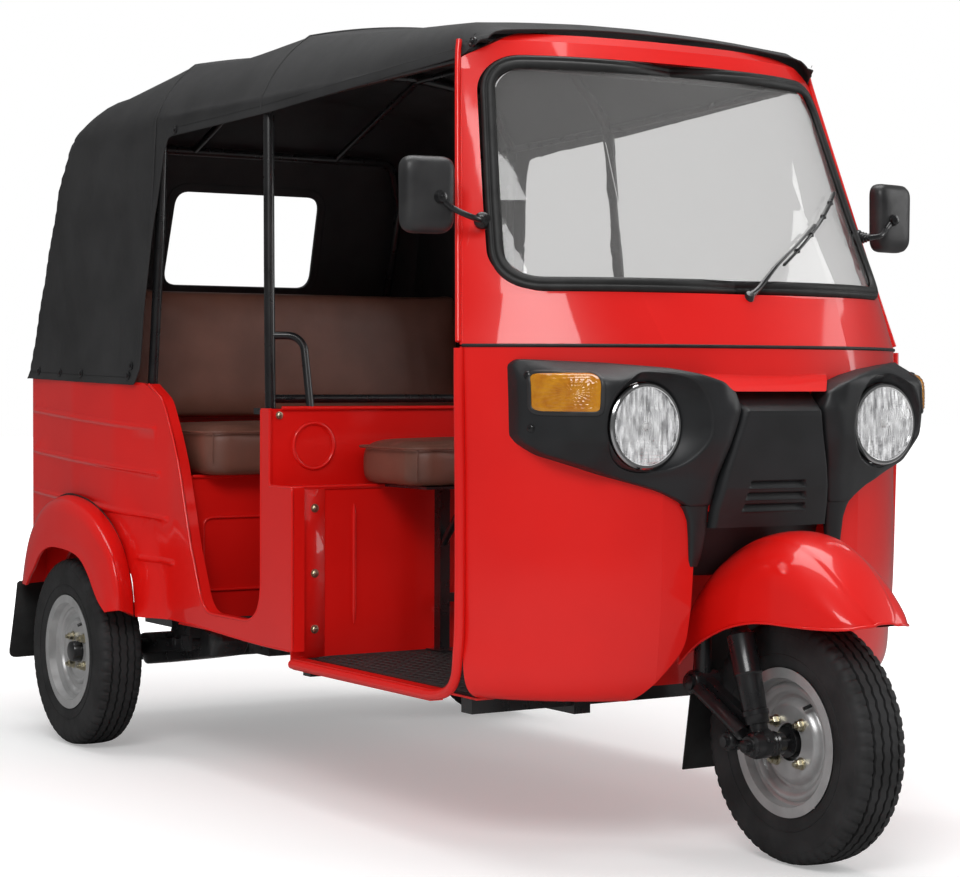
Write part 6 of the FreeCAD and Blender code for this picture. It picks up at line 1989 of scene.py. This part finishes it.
def make_flaps():
    """Rubber flaps behind the rear wheels, slanting out and back."""
    flaps = Form()
    loop = rounded_loop(FLAP_OUTLINE, FLAP_BENDS, 9.0)
    rows = []
    for depth, shrink in ((0.0, 0.985), (0.8, 1.0), (3.4, 1.0), (4.2, 0.985)):
        row = []
        for point in loop:
            down = max((FLAP_TOP - point.y) / 200.0, 0.0)
            row.append(metres(FLAP_PLACE[0] + point.x * shrink + 14 * down,
                              FLAP_PLACE[1] + depth + 22 * down ** 1.3,
                              blended(FLAP_MIDDLE, point.y, shrink)))
        rows.append(row)
    flaps.rows(rows, closed_across=True, cap=True)
    flaps.mirror()
    make_piece("rear_flaps", flaps, "black_rubber", "body", ("rear_mudflaps",), sharp=50.0)


# ---------------------------------------------------------------- stage

FLOOR_SIZE = 60.0
FLOOR_GLOW = 0.30
FLOOR_GLOW_FROM = 1.9
FLOOR_GLOW_FULL = 4.2
ROOM_LIGHT = 0.42
ROOM_GLOSS = 0.12
FLOOR_TONE = 0.84
FLOOR_TONE_IN_GLOSS = 0.26


def make_floor_plane():
    """Floor that takes a soft shadow, and glows white further off so that it has no far edge."""
    mesh = bpy.data.meshes.new("floor")
    half = FLOOR_SIZE / 2
    mesh.from_pydata([(-half, -half, 0), (half, -half, 0), (half, half, 0), (-half, half, 0)], [], [(0, 1, 2, 3)])
    floor = bpy.data.objects.new("floor", mesh)
    bpy.context.scene.collection.objects.link(floor)
    item, shader = blank_material("studio_floor")
    shader.inputs["Roughness"].default_value = 0.9
    rays = add_node(item, "ShaderNodeLightPath")
    tone = add_node(item, "ShaderNodeMapRange")
    link(item, rays.outputs["Is Glossy Ray"], tone.inputs["Value"])
    tone.inputs["To Min"].default_value = FLOOR_TONE
    tone.inputs["To Max"].default_value = FLOOR_TONE_IN_GLOSS
    link(item, tone.outputs["Result"], shader.inputs["Base Color"])
    glow = add_node(item, "ShaderNodeMath", operation="MAXIMUM")
    link(item, rays.outputs["Is Camera Ray"], glow.inputs[0])
    link(item, rays.outputs["Is Transmission Ray"], glow.inputs[1])
    spot = add_node(item, "ShaderNodeTexCoord")
    reach = add_node(item, "ShaderNodeVectorMath", operation="LENGTH")
    link(item, spot.outputs["Object"], reach.inputs[0])
    far = add_node(item, "ShaderNodeMapRange", interpolation_type="SMOOTHSTEP")
    link(item, reach.outputs["Value"], far.inputs["Value"])
    for name, value in (("From Min", FLOOR_GLOW_FROM), ("From Max", FLOOR_GLOW_FULL), ("To Min", FLOOR_GLOW),
                        ("To Max", 1.0)):
        far.inputs[name].default_value = value
    scaled = add_node(item, "ShaderNodeMath", operation="MULTIPLY")
    link(item, far.outputs["Result"], scaled.inputs[1])
    link(item, glow.outputs[0], scaled.inputs[0])
    shader.inputs["Emission Color"].default_value = (1, 1, 1, 1)
    link(item, scaled.outputs[0], shader.inputs["Emission Strength"])
    mesh.materials.append(item)


def make_world():
    """White studio round the object, darker where the paint mirrors it."""
    world = bpy.data.worlds.new("studio")
    bpy.context.scene.world = world
    world.use_nodes = True
    back = world.node_tree.nodes["Background"]
    back.inputs["Color"].default_value = (1, 1, 1, 1)
    rays = add_node(world, "ShaderNodeLightPath")
    dim_gloss = add_node(world, "ShaderNodeMapRange")
    dim_gloss.inputs["To Min"].default_value = ROOM_LIGHT
    dim_gloss.inputs["To Max"].default_value = ROOM_GLOSS
    link(world, rays.outputs["Is Glossy Ray"], dim_gloss.inputs["Value"])
    seen = add_node(world, "ShaderNodeMath", operation="MAXIMUM")
    link(world, rays.outputs["Is Camera Ray"], seen.inputs[0])
    link(world, rays.outputs["Is Transmission Ray"], seen.inputs[1])
    both = add_node(world, "ShaderNodeMath", operation="MAXIMUM")
    link(world, seen.outputs[0], both.inputs[0])
    link(world, dim_gloss.outputs["Result"], both.inputs[1])
    link(world, both.outputs[0], back.inputs["Strength"])


SOFTBOXES = (
    # name, centre, size x, size y, power, colour
    ("key_light", (-3.6, -4.2, 4.6), 3.0, 2.2, 150, (1, 1, 1)),
    ("top_light", (0.2, 0.2, 5.2), 4.5, 3.0, 170, (1, 1, 1)),
    ("side_light", (4.8, -2.6, 2.6), 2.2, 3.2, 60, (1, 1, 1)),
)


def make_lights():
    """Softboxes, all turned to the middle of the object."""
    for name, centre, wide, deep, power, colour in SOFTBOXES:
        lamp = bpy.data.lights.new(name, "AREA")
        lamp.shape = "RECTANGLE"
        lamp.size = wide
        lamp.size_y = deep
        lamp.energy = power
        lamp.color = colour
        item = bpy.data.objects.new(name, lamp)
        item.location = centre
        aim = Vector((0, 0, 0.8)) - item.location
        item.rotation_euler = aim.to_track_quat("-Z", "Y").to_euler()
        bpy.context.scene.collection.objects.link(item)


CAMERA_PLACE = (-2.9792, -4.6628, 0.946)
CAMERA_YAW = 32.366
CAMERA_PITCH = -1.474
CAMERA_ROLL = 0.189
CAMERA_LENS = 87.78
SENSOR_WIDTH = 36.0


def make_camera():
    """Camera at the photograph's viewing angle."""
    lens = bpy.data.cameras.new("camera")
    lens.lens = CAMERA_LENS
    lens.sensor_width = SENSOR_WIDTH
    lens.clip_end = 200
    item = bpy.data.objects.new("camera", lens)
    turn = (Matrix.Rotation(math.radians(-CAMERA_YAW), 4, "Z")
            @ Matrix.Rotation(math.radians(90 + CAMERA_PITCH), 4, "X")
            @ Matrix.Rotation(math.radians(CAMERA_ROLL), 4, "Z"))
    item.matrix_world = Matrix.Translation(CAMERA_PLACE) @ turn
    bpy.context.scene.collection.objects.link(item)
    bpy.context.scene.camera = item


# ---------------------------------------------------------------- the whole

for wheel in ("front", "rear_left", "rear_right"):
    make_tyre(wheel + "_tyre", WHEELS[wheel][0], metres(*WHEELS[wheel][1]))
make_pods()
make_mask_panel()
make_mask_screws()
make_indicators()
make_lamps()
make_seals()
make_wiper()
sheet_piece, sheet_wide, sheet_long, sheet_area = make_canopy()
make_window_hem()
make_fenders()
make_mudguard()
make_cushions()
make_side_skins()
make_sills()
make_floor()
# dark sheet of painted shade inside the wheel arch
make_arch_shade_sheet()
make_partition_details()
make_mats()
make_mirrors()
make_canopy_trim()
make_wheel_details()
make_fork_details()
make_cushion_trim()
make_swing_arms()
make_flaps()

make_floor_plane()
make_world()
make_lights()
make_camera()
bpy.context.scene.view_settings.view_transform = "Standard"
